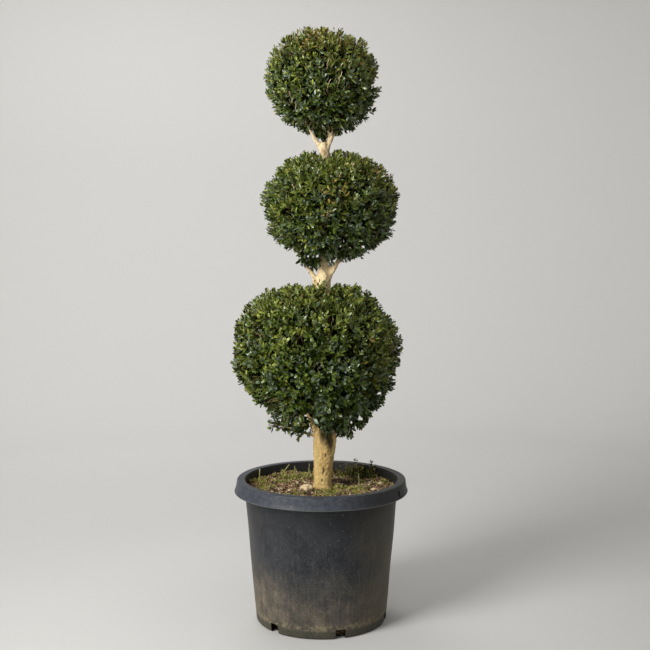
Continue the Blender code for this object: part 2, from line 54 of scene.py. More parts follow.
studio = {  # size is across and up
    "key": dict(place=(-2.10, -2.05, 2.15), aim=(0.0, 0.0, 0.85), size=(1.3, 2.5), watts=150.0,
                colour=(1.0, 0.985, 0.955)),
    "front": dict(place=(0.4, -3.0, 1.5), aim=(0.2, 0.0, 0.3), size=(1.6, 1.6), watts=7.0,
                  colour=(1.0, 0.99, 0.97)),
    "top": dict(place=(0.5, -0.5, 3.2), aim=(0.4, 0.0, 0.4), size=(1.6, 1.6), watts=9.0,
                colour=(1.0, 0.99, 0.98)),
    "back": dict(place=(-0.6, 1.7, 2.75), aim=(-0.6, 3.3, 0.0), size=(1.4, 1.4), watts=46.0,
                 colour=(1.0, 0.99, 0.975)),
}
surround = {"colour": (0.80, 0.80, 0.80), "strength": 0.265}
backdrop = {
    "floorRadius": 2.6, "bendRadius": 1.5, "height": 5.0, "floorRings": 8, "bendRings": 24, "sides": 96,
    "sink": 0.0004, "roughness": 0.75, "specular": 0.2,
    "near": (0.550, 0.547, 0.538), "far": (0.508, 0.505, 0.496), "wall": (0.567, 0.563, 0.554),
    "nearTo": 0.55, "farFrom": 1.15, "wallFrom": 1.5, "wallFull": 2.7,
}


def unit(vectors):
    return vectors / np.maximum(np.linalg.norm(vectors, axis=-1, keepdims=True), 1e-12)


def waves(points, size, seed, count=10):
    # Smooth noise around 0 with a spread of about 1: plane sine waves, one size from crest to crest,
    # that run in seeded directions and are added up
    rng = np.random.default_rng(seed)
    runs = unit(rng.normal(size=(count, 3))) * (math.tau / size * rng.uniform(0.7, 1.35, (count, 1)))
    return np.sin(points @ runs.T + rng.uniform(0, math.tau, count)).sum(-1) / math.sqrt(count / 2)


def smoothStep(values, low, high):
    # 0 below low, 1 above high and an even S in between
    share = np.clip((values - low) / (high - low), 0, 1)
    return share * share * (3 - 2 * share)


def makeObject(name, points, faceSets, material, smooth=True):
    # One mesh from whole arrays: points (n, 3) and sets of faces with 3 or 4 corners each
    corners = np.concatenate([faces.ravel() for faces in faceSets]).astype(np.int32)
    sizes = np.concatenate([np.full(len(faces), faces.shape[1]) for faces in faceSets])
    starts = np.concatenate([[0], np.cumsum(sizes)[:-1]]).astype(np.int32)
    mesh = bpy.data.meshes.new(name)
    mesh.vertices.add(len(points))
    mesh.vertices.foreach_set("co", np.asarray(points, np.float32).ravel())
    mesh.loops.add(len(corners))
    mesh.loops.foreach_set("vertex_index", corners)
    mesh.polygons.add(len(sizes))
    mesh.polygons.foreach_set("loop_start", starts)
    mesh.update(calc_edges=True)
    mesh.polygons.foreach_set("use_smooth", np.full(len(sizes), smooth))
    if material is not None:
        mesh.materials.append(material)
    obj = bpy.data.objects.new(name, mesh)
    bpy.context.scene.collection.objects.link(obj)
    return obj


def finishPiece(obj, nodes):
    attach(obj, "root")
    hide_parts(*nodes)
    print(obj.name, len(obj.data.loops) - 2 * len(obj.data.polygons), "triangles")


def applyModifiers(obj):
    bpy.context.view_layer.update()
    mesh = bpy.data.meshes.new_from_object(obj.evaluated_get(bpy.context.evaluated_depsgraph_get()))
    obj.modifiers.clear()
    obj.data = mesh


def meshArrays(mesh):
    points = np.empty(len(mesh.vertices) * 3, np.float32)
    normals = np.empty(len(mesh.vertices) * 3, np.float32)
    mesh.vertices.foreach_get("co", points)
    mesh.vertices.foreach_get("normal", normals)
    return points.reshape(-1, 3).astype(float), normals.reshape(-1, 3).astype(float)


def setAttribute(mesh, name, values):
    layer = mesh.attributes.new(name, "FLOAT", "POINT")
    layer.data.foreach_set("value", np.asarray(values, np.float32))


def ringFaces(rows, sides):
    # Quads between rings of points and a fan over each end. The points are numbered ring by ring,
    # then comes the middle of the first end and that of the last one.
    here = np.arange(sides)
    after = (here + 1) % sides
    row = np.arange(rows - 1)[:, None] * sides
    quads = np.stack([row + here, row + sides + here, row + sides + after, row + after], -1).reshape(-1, 4)
    final = (rows - 1) * sides
    caps = np.concatenate([
        np.stack([np.full(sides, rows * sides), here, after], -1),
        np.stack([np.full(sides, rows * sides + 1), final + after, final + here], -1),
    ])
    return quads, caps


def turned(profile, sides):
    # Turns a profile of radius and height round Z: radius times the cosine and sine of the turn.
    # Its first and last points are on the axis. It runs down the outer side, so faces point outwards.
    turns = np.arange(sides) * math.tau / sides
    radius, height = profile[1:-1, :1], profile[1:-1, 1:]
    rings = np.stack([radius * np.cos(turns), radius * np.sin(turns), np.repeat(height, sides, 1)], -1)
    points = np.concatenate([rings.reshape(-1, 3), [(0, 0, profile[0, 1]), (0, 0, profile[-1, 1])]])
    return points, ringFaces(len(rings), sides)


def roundedProfile(corners, longest):
    # Corners of radius, height and rounding: each becomes a curve that starts and ends its rounding away,
    # its points weighted by (1-t) squared, 2t(1-t) and t squared, and long runs are cut to the longest step
    rows = [corners[0][:2]]
    for before, corner, after in zip(corners, corners[1:], corners[2:]):
        here = np.array(corner[:2])
        back, on = np.array(before[:2]) - here, np.array(after[:2]) - here
        start = here + back / np.linalg.norm(back) * corner[2]
        end = here + on / np.linalg.norm(on) * corner[2]
        for t in np.linspace(0, 1, 5):
            rows.append((1 - t) ** 2 * start + 2 * t * (1 - t) * here + t**2 * end)
    rows.append(corners[-1][:2])
    rows = np.array(rows, float)
    filled = [rows[:1]]
    for start, end in zip(rows, rows[1:]):
        steps = max(1, math.ceil(np.linalg.norm(end - start) / longest))
        filled.append(start + (end - start) * (np.arange(1, steps + 1) / steps)[:, None])
    return np.concatenate(filled)


def tubes(paths, radii, sides):
    # Tubes along paths (n, m, 3): every ring lies square to its path, radius times the cosine and sine
    # of each side's turn, and a point in the middle closes each end
    count, length = paths.shape[:2]
    along = unit(np.gradient(paths, axis=1))
    mean = unit(paths[:, -1] - paths[:, 0])
    guide = np.where(np.abs(mean[:, 2:]) < 0.8, [0.0, 0.0, 1.0], [1.0, 0.0, 0.0])
    side = unit(np.cross(along, guide[:, None]))
    other = np.cross(along, side)
    turns = np.arange(sides) * math.tau / sides
    offsets = np.cos(turns)[:, None] * side[:, :, None] + np.sin(turns)[:, None] * other[:, :, None]
    rings = paths[:, :, None] + np.broadcast_to(radii, (count, length))[:, :, None, None] * offsets
    points = np.concatenate([rings.reshape(count, -1, 3), paths[:, :1], paths[:, -1:]], 1)
    quads, caps = ringFaces(length, sides)
    quads, caps = quads[:, [0, 3, 2, 1]], caps[:, [0, 2, 1]]  # the sides turn the other way here
    shift = (np.arange(count) * points.shape[1])[:, None, None]
    return points.reshape(-1, 3), [(shift + quads).reshape(-1, 4), (shift + caps).reshape(-1, 3)]


def joinShapes(shapes):
    # One set of arrays from several, with the faces' numbers moved on
    points, quads, triangles, base = [], [], [], 0
    for shapePoints, faceSets in shapes:
        points.append(shapePoints)
        for faces in faceSets:
            (quads if faces.shape[1] == 4 else triangles).append(faces + base)
        base += len(shapePoints)
    return np.concatenate(points), [np.concatenate(part) for part in (quads, triangles) if part]


def randomTurns(count, rng):
    # Rotation matrices (n, 3, 3) from evenly spread unit quaternions
    w, x, y, z = unit(rng.normal(size=(count, 4))).T
    return np.stack([
        1 - 2 * (y * y + z * z), 2 * (x * y - z * w), 2 * (x * z + y * w),
        2 * (x * y + z * w), 1 - 2 * (x * x + z * z), 2 * (y * z - x * w),
        2 * (x * z - y * w), 2 * (y * z + x * w), 1 - 2 * (x * x + y * y),
    ], -1).reshape(count, 3, 3)


def turnRound(angle):
    # The matrix that turns rows of points round Z when it is multiplied on their right
    cosine, sine = math.cos(angle), math.sin(angle)
    return np.array([[cosine, sine, 0], [-sine, cosine, 0], [0, 0, 1]])


def makeCamera():
    data = bpy.data.cameras.new("photoView")
    data.sensor_width = camera["sensor"]
    data.lens = camera["lens"]
    obj = bpy.data.objects.new("photoView", data)
    obj.location = camera["place"]
    obj.rotation_euler = (math.radians(90 - camera["tilt"]), 0, 0)
    bpy.context.scene.collection.objects.link(obj)
    bpy.context.scene.camera = obj


def makeLights():
    for name, light in studio.items():
        data = bpy.data.lights.new(name, "AREA")
        data.shape = "RECTANGLE"
        data.size, data.size_y = light["size"]
        data.energy = light["watts"]
        data.color = light["colour"]
        obj = bpy.data.objects.new(name, data)
        obj.location = light["place"]
        obj.rotation_euler = (Vector(light["aim"]) - obj.location).to_track_quat("-Z", "Y").to_euler()
        bpy.context.scene.collection.objects.link(obj)
    world = bpy.data.worlds.new("surround")
    world.use_nodes = True
    background = world.node_tree.nodes["Background"]
    background.inputs["Color"].default_value = (*surround["colour"], 1)
    background.inputs["Strength"].default_value = surround["strength"]
    bpy.context.scene.world = world
    bpy.context.scene.view_settings.view_transform = "Standard"


# Shader helpers

def newMaterial(name, roughness, specular):
    material = bpy.data.materials.new(name)
    material.use_nodes = True
    shader = material.node_tree.nodes["Principled BSDF"]
    shader.inputs["Roughness"].default_value = roughness
    shader.inputs["Specular IOR Level"].default_value = specular
    return material, material.node_tree, shader


def addNode(tree, kind, inputs, **settings):
    # A node with its settings, and its inputs linked or given a value
    node = tree.nodes.new(kind)
    for key, value in settings.items():
        setattr(node, key, value)
    for key, value in inputs.items():
        if isinstance(value, bpy.types.NodeSocket):
            tree.links.new(value, node.inputs[key])
        else:
            node.inputs[key].default_value = value
    return node


def colour(rgb):
    return (*rgb, 1.0)


def mixColours(tree, share, low, high):
    return addNode(tree, "ShaderNodeMix", {0: share, 6: low, 7: high}, data_type="RGBA").outputs[2]


def cover(tree, base, share, rgb):
    # A plain colour over the base, by its share
    return mixColours(tree, share, base, colour(rgb))


def mathNode(tree, operation, first, second, clamp=False):
    node = addNode(tree, "ShaderNodeMath", {0: first, 1: second}, operation=operation, use_clamp=clamp)
    return node.outputs[0]


def times(tree, first, *others):
    for other in others:
        first = mathNode(tree, "MULTIPLY", first, other)
    return first


def plus(tree, first, *others):
    for other in others:
        first = mathNode(tree, "ADD", first, other)
    return first


def ramp(tree, value, low, high, lowOut=0.0, highOut=1.0):
    # From one value at low to another at high, in an even S
    return addNode(tree, "ShaderNodeMapRange", {
        "Value": value, "From Min": low, "From Max": high, "To Min": lowOut, "To Max": highOut,
    }, interpolation_type="SMOOTHSTEP").outputs["Result"]


def objectPlace(tree, scale=(1, 1, 1), shift=(0, 0, 0)):
    place = addNode(tree, "ShaderNodeTexCoord", {}).outputs["Object"]
    mapping = addNode(tree, "ShaderNodeMapping", {"Vector": place, "Scale": scale, "Location": shift})
    return mapping.outputs["Vector"]


def lengthOf(tree, vector):
    return addNode(tree, "ShaderNodeVectorMath", {0: vector}, operation="LENGTH").outputs["Value"]


def noise(tree, scale, detail=3.0, stretch=(1, 1, 1), roughness=0.55):
    # Noise on object coordinates, with scale cells to the metre, finer or longer along each axis by stretch
    return addNode(tree, "ShaderNodeTexNoise", {
        "Vector": objectPlace(tree, tuple(scale * part for part in stretch)), "Scale": 1.0,
        "Detail": detail, "Roughness": roughness,
    }).outputs["Fac"]


def attribute(tree, name):
    return addNode(tree, "ShaderNodeAttribute", {}, attribute_name=name).outputs["Fac"]


def makeToneGroup():
    # Two tones dealt out in soft patches, multiplied by 1 plus fine times (a finer noise - 0.5)
    tree = bpy.data.node_groups.new("twoTones", "ShaderNodeTree")
    for name, kind in (("Tone", "Color"), ("Other", "Color"), ("Scale", "Float"), ("Fine", "Float")):
        tree.interface.new_socket(name, in_out="INPUT", socket_type="NodeSocket" + kind)
    tree.interface.new_socket("Colour", in_out="OUTPUT", socket_type="NodeSocketColor")
    given = tree.nodes.new("NodeGroupInput").outputs
    place, fineScale = objectPlace(tree), times(tree, given["Scale"], 3.7)
    broad, fine = (addNode(tree, "ShaderNodeTexNoise", {
        "Vector": place, "Scale": scale, "Detail": 2.0, "Roughness": roughness,
    }).outputs["Fac"] for scale, roughness in ((given["Scale"], 0.5), (fineScale, 0.6)))
    mixed = mixColours(tree, ramp(tree, broad, 0.38, 0.62), given["Tone"], given["Other"])
    value = plus(tree, times(tree, mathNode(tree, "SUBTRACT", fine, 0.5), given["Fine"]), 1.0)
    shaded = addNode(tree, "ShaderNodeVectorMath", {0: mixed, "Scale": value}, operation="SCALE").outputs[0]
    tree.links.new(shaded, tree.nodes.new("NodeGroupOutput").inputs["Colour"])
    return tree


toneGroup = makeToneGroup()


def twoTones(tree, tones, scale, fine):
    # The shared group's colour for a pair of tones
    values = {"Tone": colour(tones[0]), "Other": colour(tones[1]), "Scale": scale, "Fine": fine}
    return addNode(tree, "ShaderNodeGroup", values, node_tree=toneGroup).outputs["Colour"]


def addBump(tree, height, strength, distance):
    bump = addNode(tree, "ShaderNodeBump", {"Height": height, "Strength": strength, "Distance": distance})
    tree.links.new(bump.outputs["Normal"], tree.nodes["Principled BSDF"].inputs["Normal"])


def plainMaterial(name, tones, scale, roughness=0.7, fine=0.5):
    material, tree, shader = newMaterial(name, roughness, 0.3)
    tree.links.new(twoTones(tree, tones, scale, fine), shader.inputs["Base Color"])
    return material


def makeBackdrop():
    # The floor runs into a round wall through a quarter bend, and every side of the studio looks alike
    reach, bendRadius, height = backdrop["floorRadius"], backdrop["bendRadius"], backdrop["height"]
    flat = np.linspace(0, reach, backdrop["floorRings"])
    bend = np.linspace(0, math.pi / 2, backdrop["bendRings"])[1:]
    radii = np.concatenate([flat, reach + bendRadius * np.sin(bend), [reach + bendRadius, 0]])
    heights = np.concatenate([flat * 0, bendRadius * (1 - np.cos(bend)), [height, height]])
    points, (quads, caps) = turned(np.column_stack([radii, heights]), backdrop["sides"])
    material, tree, shader = newMaterial("studioFloor", backdrop["roughness"], backdrop["specular"])
    # painted light and shade: the floor is paler near the pot and darker out towards the bend, and the wall
    # paler again
    away = lengthOf(tree, objectPlace(tree, (1, 1, 0)))
    nearness = ramp(tree, away, backdrop["nearTo"], backdrop["farFrom"])
    floorTone = cover(tree, colour(backdrop["near"]), nearness, backdrop["far"])
    wallShare = ramp(tree, away, backdrop["wallFrom"], backdrop["wallFull"])
    tree.links.new(cover(tree, floorTone, wallShare, backdrop["wall"]), shader.inputs["Base Color"])
    # the last point and its fan are left out, so the wall stays open above
    points, fan = points[:-1] - [0, 0, backdrop["sink"]], caps[:backdrop["sides"]]
    makeObject("studio_floor", points, [quads, fan], material)


makeCamera()
makeLights()
makeBackdrop()
print("camera, lights and backdrop made")

# Pot

pot = {
    "height": 0.368, "skirtRadius": 0.225, "skirtDepth": 0.0325, "beltDepth": 0.024, "rimRadius": 0.2184,
    "footRadius": 0.1690, "flare": 0.085, "wall": 0.0025, "skirtWall": 0.003, "floor": 0.003,
    "edgeRise": 0.0022, "lipRise": 0.001, "sides": 240, "step": 0.011,
    "unevenness": 0.0005, "waveSize": 0.16, "waveTurn": 0.2, "waveSeed": 3,
    "waveRadii": (0.10, 0.17), "waveHeights": (0.01, 0.10), "sharpAngle": 38,
    "drains": 6, "drainSize": (0.034, 0.026, 0.034), "drainTop": 0.024, "drainTurn": -73.4,
    "slotTurns": (-28.0, 152.0), "slotSize": (0.016, 0.010, 0.016), "slotFoot": 0.341,
    "plateRadius": 0.2140, "plateSize": (0.0016, 0.030, 0.030), "plateFoot": 0.3362,
}
beltRadius = (pot["rimRadius"] + pot["skirtRadius"]) / 2


def wallRadius(height):
    return pot["footRadius"] + pot["flare"] * height


def potProfile():
    # Radius, height and rounding of each corner, from the floor's middle over the rim to the underside
    top, wall, skirt = pot["height"], pot["wall"], pot["skirtWall"]
    belt, foot = top - pot["beltDepth"], top - pot["skirtDepth"]
    return roundedProfile([
        (0.0, pot["floor"]),
        (wallRadius(0) - wall, pot["floor"], 0.004),
        (wallRadius(top) - wall, top, 0.0022),
        (pot["rimRadius"], top, 0.0026),
        (beltRadius, belt, 0.006),
        (pot["skirtRadius"], foot + pot["edgeRise"], 0.0012),
        (pot["skirtRadius"] - skirt * 0.5, foot, 0.0008),
        (pot["skirtRadius"] - skirt, foot + pot["lipRise"], 0.0006),
        (beltRadius - skirt, belt, 0.004),
        (pot["rimRadius"] - skirt, top - skirt, 0.001),
        (wallRadius(top - skirt), top - skirt, 0.0015),
        (wallRadius(0), 0.0, 0.006),
        (0.0, 0.0),
    ], pot["step"])


def cutterBox(turn, radius, size, foot):
    # A box of this size whose foot stands at a height, its middle at a radius and turned to face out
    corners = np.array([(x, y, z) for x in (-0.5, 0.5) for y in (-0.5, 0.5) for z in (0, 1)]) * size
    faces = np.array([(0, 1, 3, 2), (4, 6, 7, 5), (0, 4, 5, 1), (2, 3, 7, 6), (0, 2, 6, 4), (1, 5, 7, 3)])
    return (corners + [radius, 0, 0]) @ turnRound(math.radians(turn)) + [0, 0, foot], [faces]


potTones = {
    "clean": ((0.0110, 0.0135, 0.0170), (0.0195, 0.0220, 0.0265)),
    "marks": (0.125, 0.130, 0.140), "shaded": (0.0060, 0.0068, 0.0070),
    "band": ((0.026, 0.031, 0.043), (0.040, 0.046, 0.058)),
    "bandDots": (0.15, 0.155, 0.165), "bandBrownShade": (0.0155, 0.0150, 0.0115), "edgeHighlight": (0.22, 0.225, 0.220),
    "dust": ((0.185, 0.150, 0.102), (0.105, 0.088, 0.062)), "film": (0.088, 0.070, 0.040),
    "dampAndShade": (0.036, 0.037, 0.026), "mossy": (0.200, 0.170, 0.095), "specks": (0.24, 0.22, 0.18),
    "inside": (0.0180, 0.0170, 0.0150),
}
# cells to the metre, detail, stretch and roughness
potNoises = {
    "speckle": (340.0, 3.0, (1, 1, 0.55), 0.7), "streaks": (120.0, 4.0, (1, 1, 0.10), 0.6),
    "cloud": (10.0, 4.0), "blots": (85.0, 4.0, (1, 1, 0.7), 0.65), "line": (120.0, 4.0),
    "specks": (230.0, 2.0),
}
# where each mark starts and ends, over a noise, the height or the way to the right, and its strength at both
potFades = {
    "dots": (0.50, 0.76, 0.0, 0.30), "streaks": (0.50, 0.74, 0.0, 0.09), "blots": (0.46, 0.70, 0.0, 0.11),
    "marksUp": (0.335, 0.200, 0.40, 1.0), "shadedUp": (0.240, 0.335, 0.0, 0.50), "bandUp": (0.334, 0.338),
    "bandDots": (0.50, 0.75, 0.0, 0.26), "bandRight": (0.020, 0.150, 0.0, 0.88),
    "bandCloud": (0.30, 0.60, 0.6, 1.0), "edgeHighlightUp": (0.3385, 0.3360, 0.0, 0.85),
    "brokenDots": (0.30, 0.70, 0.35, 0.95), "brokenStreaks": (0.30, 0.70, 0.0, 0.5),
    "dustAndSheenLeft": (-0.060, -0.170, 0.0, 0.34), "dustLow": (0.230, 0.110), "dustUp": (0.190, 0.025, 0.0, 0.52),
    "dustCloud": (0.30, 0.70, -0.12, 0.08), "filmRight": (0.040, 0.170, 0.0, 0.66),
    "filmUp": (0.345, 0.250, 0.35, 1.0), "filmCloud": (0.25, 0.65, 0.5, 1.0),
    "dampUp": (0.027, 0.016, 0.0, 0.72), "lineDown": (0.042, 0.030), "lineUp": (0.018, 0.027),
    "lineNoise": (0.44, 0.64, 0.0, 0.75), "specks": (0.66, 0.74, 0.0, 0.35),
    "inside": (-0.0010, -0.0018, 0.0, 0.93),
}
potGloss = {"base": 0.42, "haze": 0.22, "speckle": 0.14, "streakBump": 0.6, "bump": (0.35, 0.0006)}


def potMaterial():
    # Charcoal plastic: finely mottled and bluish where clean, with painted shade under the rim, a band partly
    # painted as highlight and shaded on its right, dusty at the sides with painted sheen at the left, brown
    # towards the foot, and darker inside
    material, tree, shader = newMaterial("potPlastic", 0.5, 0.27)
    split = addNode(tree, "ShaderNodeSeparateXYZ", {"Vector": objectPlace(tree)})
    east, height = split.outputs["X"], split.outputs["Z"]
    speckle, streaks, cloud, blots, line, specks = (noise(tree, *sizes) for sizes in potNoises.values())

    def fade(value, name):
        return ramp(tree, value, *potFades[name])

    marks = plus(tree, fade(speckle, "dots"), fade(streaks, "streaks"), fade(blots, "blots"))
    # fewer marks up under the rim's skirt, where painted shade darkens the wall
    marks = times(tree, marks, fade(height, "marksUp"))
    wall = cover(tree, twoTones(tree, potTones["clean"], 12.0, 0.6), marks, potTones["marks"])
    wall = cover(tree, wall, fade(height, "shadedUp"), potTones["shaded"])
    # the band over the belt: a paler bluish tone, its own and partly painted highlight
    band = fade(height, "bandUp")
    upper = twoTones(tree, potTones["band"], 80.0, 0.9)
    upper = cover(tree, upper, fade(speckle, "bandDots"), potTones["bandDots"])
    # painted shade and a brown tint on the band's right side
    brown = times(tree, fade(east, "bandRight"), fade(cloud, "bandCloud"))
    base = mixColours(tree, band, wall, cover(tree, upper, brown, potTones["bandBrownShade"]))
    # painted highlight: a pale line along the skirt's lower edge
    base = cover(tree, base, times(tree, band, fade(height, "edgeHighlightUp")), potTones["edgeHighlight"])
    # haze of dust: by height, in clouds, and at the left, where the paler dust is also painted sheen; broken
    # by the speckle and the streaks
    wallOnly = mathNode(tree, "SUBTRACT", 1.0, band)
    broken = plus(tree, fade(speckle, "brokenDots"), fade(streaks, "brokenStreaks"))
    left = times(tree, fade(east, "dustAndSheenLeft"), fade(height, "dustLow"))
    haze = plus(tree, fade(height, "dustUp"), left, fade(cloud, "dustCloud"))
    haze = mathNode(tree, "MULTIPLY", times(tree, haze, wallOnly), broken, True)
    base = mixColours(tree, haze, base, twoTones(tree, potTones["dust"], 32.0, 0.8))
    # brown film up the right side
    film = times(tree, fade(east, "filmRight"), fade(height, "filmUp"), fade(cloud, "filmCloud"), wallOnly)
    base = cover(tree, base, mathNode(tree, "MULTIPLY", film, broken, True), potTones["film"])
    # a darker damp strip at the very foot with a broken mossy line over it
    base = cover(tree, base, fade(height, "dampUp"), potTones["dampAndShade"])
    mossy = times(tree, fade(height, "lineDown"), fade(height, "lineUp"), fade(line, "lineNoise"))
    base = cover(tree, base, mossy, potTones["mossy"])
    base = cover(tree, base, fade(specks, "specks"), potTones["specks"])
    # inside, where the distance from the middle is less than the wall's own
    away = lengthOf(tree, objectPlace(tree, (1, 1, 0)))
    inward = mathNode(tree, "SUBTRACT", away, times(tree, height, pot["flare"]))
    inward = mathNode(tree, "SUBTRACT", inward, pot["footRadius"])
    base = cover(tree, base, fade(inward, "inside"), potTones["inside"])
    tree.links.new(base, shader.inputs["Base Color"])
    dull = plus(tree, times(tree, haze, potGloss["haze"]), times(tree, speckle, potGloss["speckle"]))
    tree.links.new(plus(tree, dull, potGloss["base"]), shader.inputs["Roughness"])
    addBump(tree, plus(tree, speckle, times(tree, streaks, potGloss["streakBump"])), *potGloss["bump"])
    return material


def makePot():
    points, faces = turned(potProfile(), pot["sides"])
    # out of round: the wall and rim wander with the turn and the height, and the foot stays flat
    out = unit(points * [1, 1, 0])
    away = np.linalg.norm(points[:, :2], axis=1)
    spots = np.column_stack([out[:, :2] * pot["waveTurn"], points[:, 2]])
    wander = waves(spots, pot["waveSize"], pot["waveSeed"])
    share = smoothStep(away, *pot["waveRadii"]) * smoothStep(points[:, 2], *pot["waveHeights"])
    points = points + out * (wander * share * pot["unevenness"])[:, None]
    shell = makeObject("pot_shell", points, faces, potMaterial())
    drainFoot = pot["drainTop"] - pot["drainSize"][2]
    drainTurns = [pot["drainTurn"] + 360 / pot["drains"] * i for i in range(pot["drains"])]
    boxes = [cutterBox(turn, pot["footRadius"], pot["drainSize"], drainFoot) for turn in drainTurns]
    boxes += [cutterBox(turn, beltRadius, pot["slotSize"], pot["slotFoot"]) for turn in pot["slotTurns"]]
    cutter = makeObject("potCutter", *joinShapes(boxes), None, False)
    cut = shell.modifiers.new("holes", "BOOLEAN")
    cut.object = cutter
    cut.use_self = False
    applyModifiers(shell)
    bpy.data.objects.remove(cutter)
    shell.data.set_sharp_from_angle(angle=math.radians(pot["sharpAngle"]))
    finishPiece(shell, ["pot"])
    size, foot = pot["plateSize"], pot["plateFoot"]
    plates = joinShapes([cutterBox(turn, pot["plateRadius"], size, foot) for turn in pot["slotTurns"]])
    finishPiece(makeObject("pot_plates", *plates, shell.data.materials[0], False), ["pot"])


makePot()
print("pot made")

# Soil, grains, moss and small weeds

soil = {
    "level": 0.3430, "relief": 0.004, "edgeDrop": 0.003, "seat": 0.040, "blend": 0.030, "rings": 104,
    "sides": 300, "crumbs": ((0.022, 0.0020), (0.009, 0.0012), (0.0040, 0.0006)),
    "crumbsFrom": (0.024, 0.040), "seed": 12, "recess": 0.016, "recessHeights": (0.034, 0.046),
    "sideRows": 34, "gap": 0.0006, "footRound": 0.004,
    "edgeGap": 0.004,  # between grains or moss and the pot's wall
    "trunkShadeStrength": 0.85,
}
soilTones = {
    "earth": ((0.024, 0.015, 0.009), (0.150, 0.092, 0.050)),
    "moss": ((0.034, 0.026, 0.010), (0.150, 0.120, 0.036)),
    "trunkShade": (0.034, 0.022, 0.013),
}
# x, y and radius of each moss patch
mossPatches = np.array([
    (-0.165, 0.060, 0.034), (-0.158, -0.010, 0.028), (-0.088, 0.118, 0.044), (-0.104, 0.078, 0.026),
    (-0.040, 0.130, 0.036), (0.026, -0.046, 0.030), (0.046, -0.012, 0.017), (0.014, -0.086, 0.024),
    (0.084, -0.036, 0.032), (0.098, -0.004, 0.018), (0.105, 0.140, 0.050), (0.165, 0.052, 0.020),
    (-0.060, -0.130, 0.036), (0.090, -0.130, 0.030), (-0.140, -0.090, 0.024), (-0.010, 0.170, 0.030),
    (0.060, -0.165, 0.022),
])
mossRim = {"middle": 0.50, "full": 0.7, "waves": ((0.40, 0.020, 5), (0.62, 0.009, 6))}
# the painted shadow of the trunk, a dark spot on the soil beside it: how much y counts, and the share of its
# radius that is dark all through
dampAndShade = {"x": 0.058, "y": 0.050, "radius": 0.043, "stretch": 0.7, "full": 0.4}


def soilHeight(x, y):
    # Level under the trunk, then two crossing waves, and a little lower by the wall
    share = np.clip((np.hypot(x, y) - soil["seat"]) / soil["blend"], 0, 1)
    swell = np.sin(31 * x + 1.3) * np.sin(27 * y + 0.4) + 0.6 * np.sin(57 * x - 43 * y + 2.1)
    return soil["level"] + share * (soil["relief"] * swell - soil["edgeDrop"])


def soilTop(x, y):
    # The soil's height with its crumbs: ever finer noise on the broad waves
    flat = np.stack([x, y, np.zeros_like(x)], -1)
    sizes = enumerate(soil["crumbs"])
    crumbs = sum(depth * waves(flat, size, soil["seed"] + i) for i, (size, depth) in sizes)
    return soilHeight(x, y) + crumbs * smoothStep(np.hypot(x, y), *soil["crumbsFrom"])


def mossShare(x, y):
    # 1 in the middle of a moss patch and 0 outside, with a ragged rim
    gaps = np.hypot(x[..., None] - mossPatches[:, 0], y[..., None] - mossPatches[:, 1]) / mossPatches[:, 2]
    flat = np.stack([x, y, np.zeros_like(x)], -1)
    ragged = mossRim["middle"] - gaps.min(-1)
    for height, size, seed in mossRim["waves"]:
        ragged = ragged + height * waves(flat, size, seed)
    return smoothStep(ragged, 0.0, mossRim["full"])


def trunkShadeShare(x, y):
    # 1 in the middle of the painted trunk shadow and 0 at its rim, which is longer along Y
    away = np.hypot(x - dampAndShade["x"], (y - dampAndShade["y"]) * dampAndShade["stretch"])
    return smoothStep(-away, -dampAndShade["radius"], -dampAndShade["radius"] * dampAndShade["full"])


def soilMaterial():
    material, tree, shader = newMaterial("pottingSoil", 0.92, 0.25)
    earth = twoTones(tree, soilTones["earth"], 110.0, 1.0)
    mossy = twoTones(tree, soilTones["moss"], 140.0, 0.9)
    ground = mixColours(tree, attribute(tree, "moss"), earth, mossy)
    # painted shadow of the trunk, darkening the soil beside it
    ground = cover(tree, ground, attribute(tree, "dampAndShade"), soilTones["trunkShade"])
    tree.links.new(ground, shader.inputs["Base Color"])
    addBump(tree, noise(tree, 330.0, 4.0), 0.6, 0.0015)
    return material


def makeSoil():
    # A turned block that fills the pot, with its top a height over x and y
    gap = pot["wall"] + soil["gap"]
    foot = pot["floor"] + soil["gap"]
    topRadius = wallRadius(soil["level"]) - gap
    radii = topRadius * (np.arange(soil["rings"] + 1) / soil["rings"])
    heights = np.linspace(soil["level"], foot + soil["footRound"], soil["sideRows"])[1:]
    low, high = soil["recessHeights"]
    recess = soil["recess"] * smoothStep(-heights, -high, -low)  # stands back behind the drain holes
    profile = np.concatenate([
        np.stack([radii, np.full_like(radii, soil["level"])], -1),
        np.stack([wallRadius(heights) - gap - recess, heights], -1),
        [(wallRadius(0) - gap - soil["recess"] - soil["footRound"], foot), (0.0, foot)],
    ])
    points, faces = turned(profile, soil["sides"])
    top = points[:, 2] > soil["level"] - 1e-6
    points[top, 2] = soilTop(points[top, 0], points[top, 1])
    obj = makeObject("soil_body", points, faces, soilMaterial())
    setAttribute(obj.data, "moss", mossShare(points[:, 0], points[:, 1]) * top)
    setAttribute(obj.data, "dampAndShade", soil["trunkShadeStrength"] * trunkShadeShare(points[:, 0], points[:, 1]) * top)
    finishPiece(obj, ["soil"])


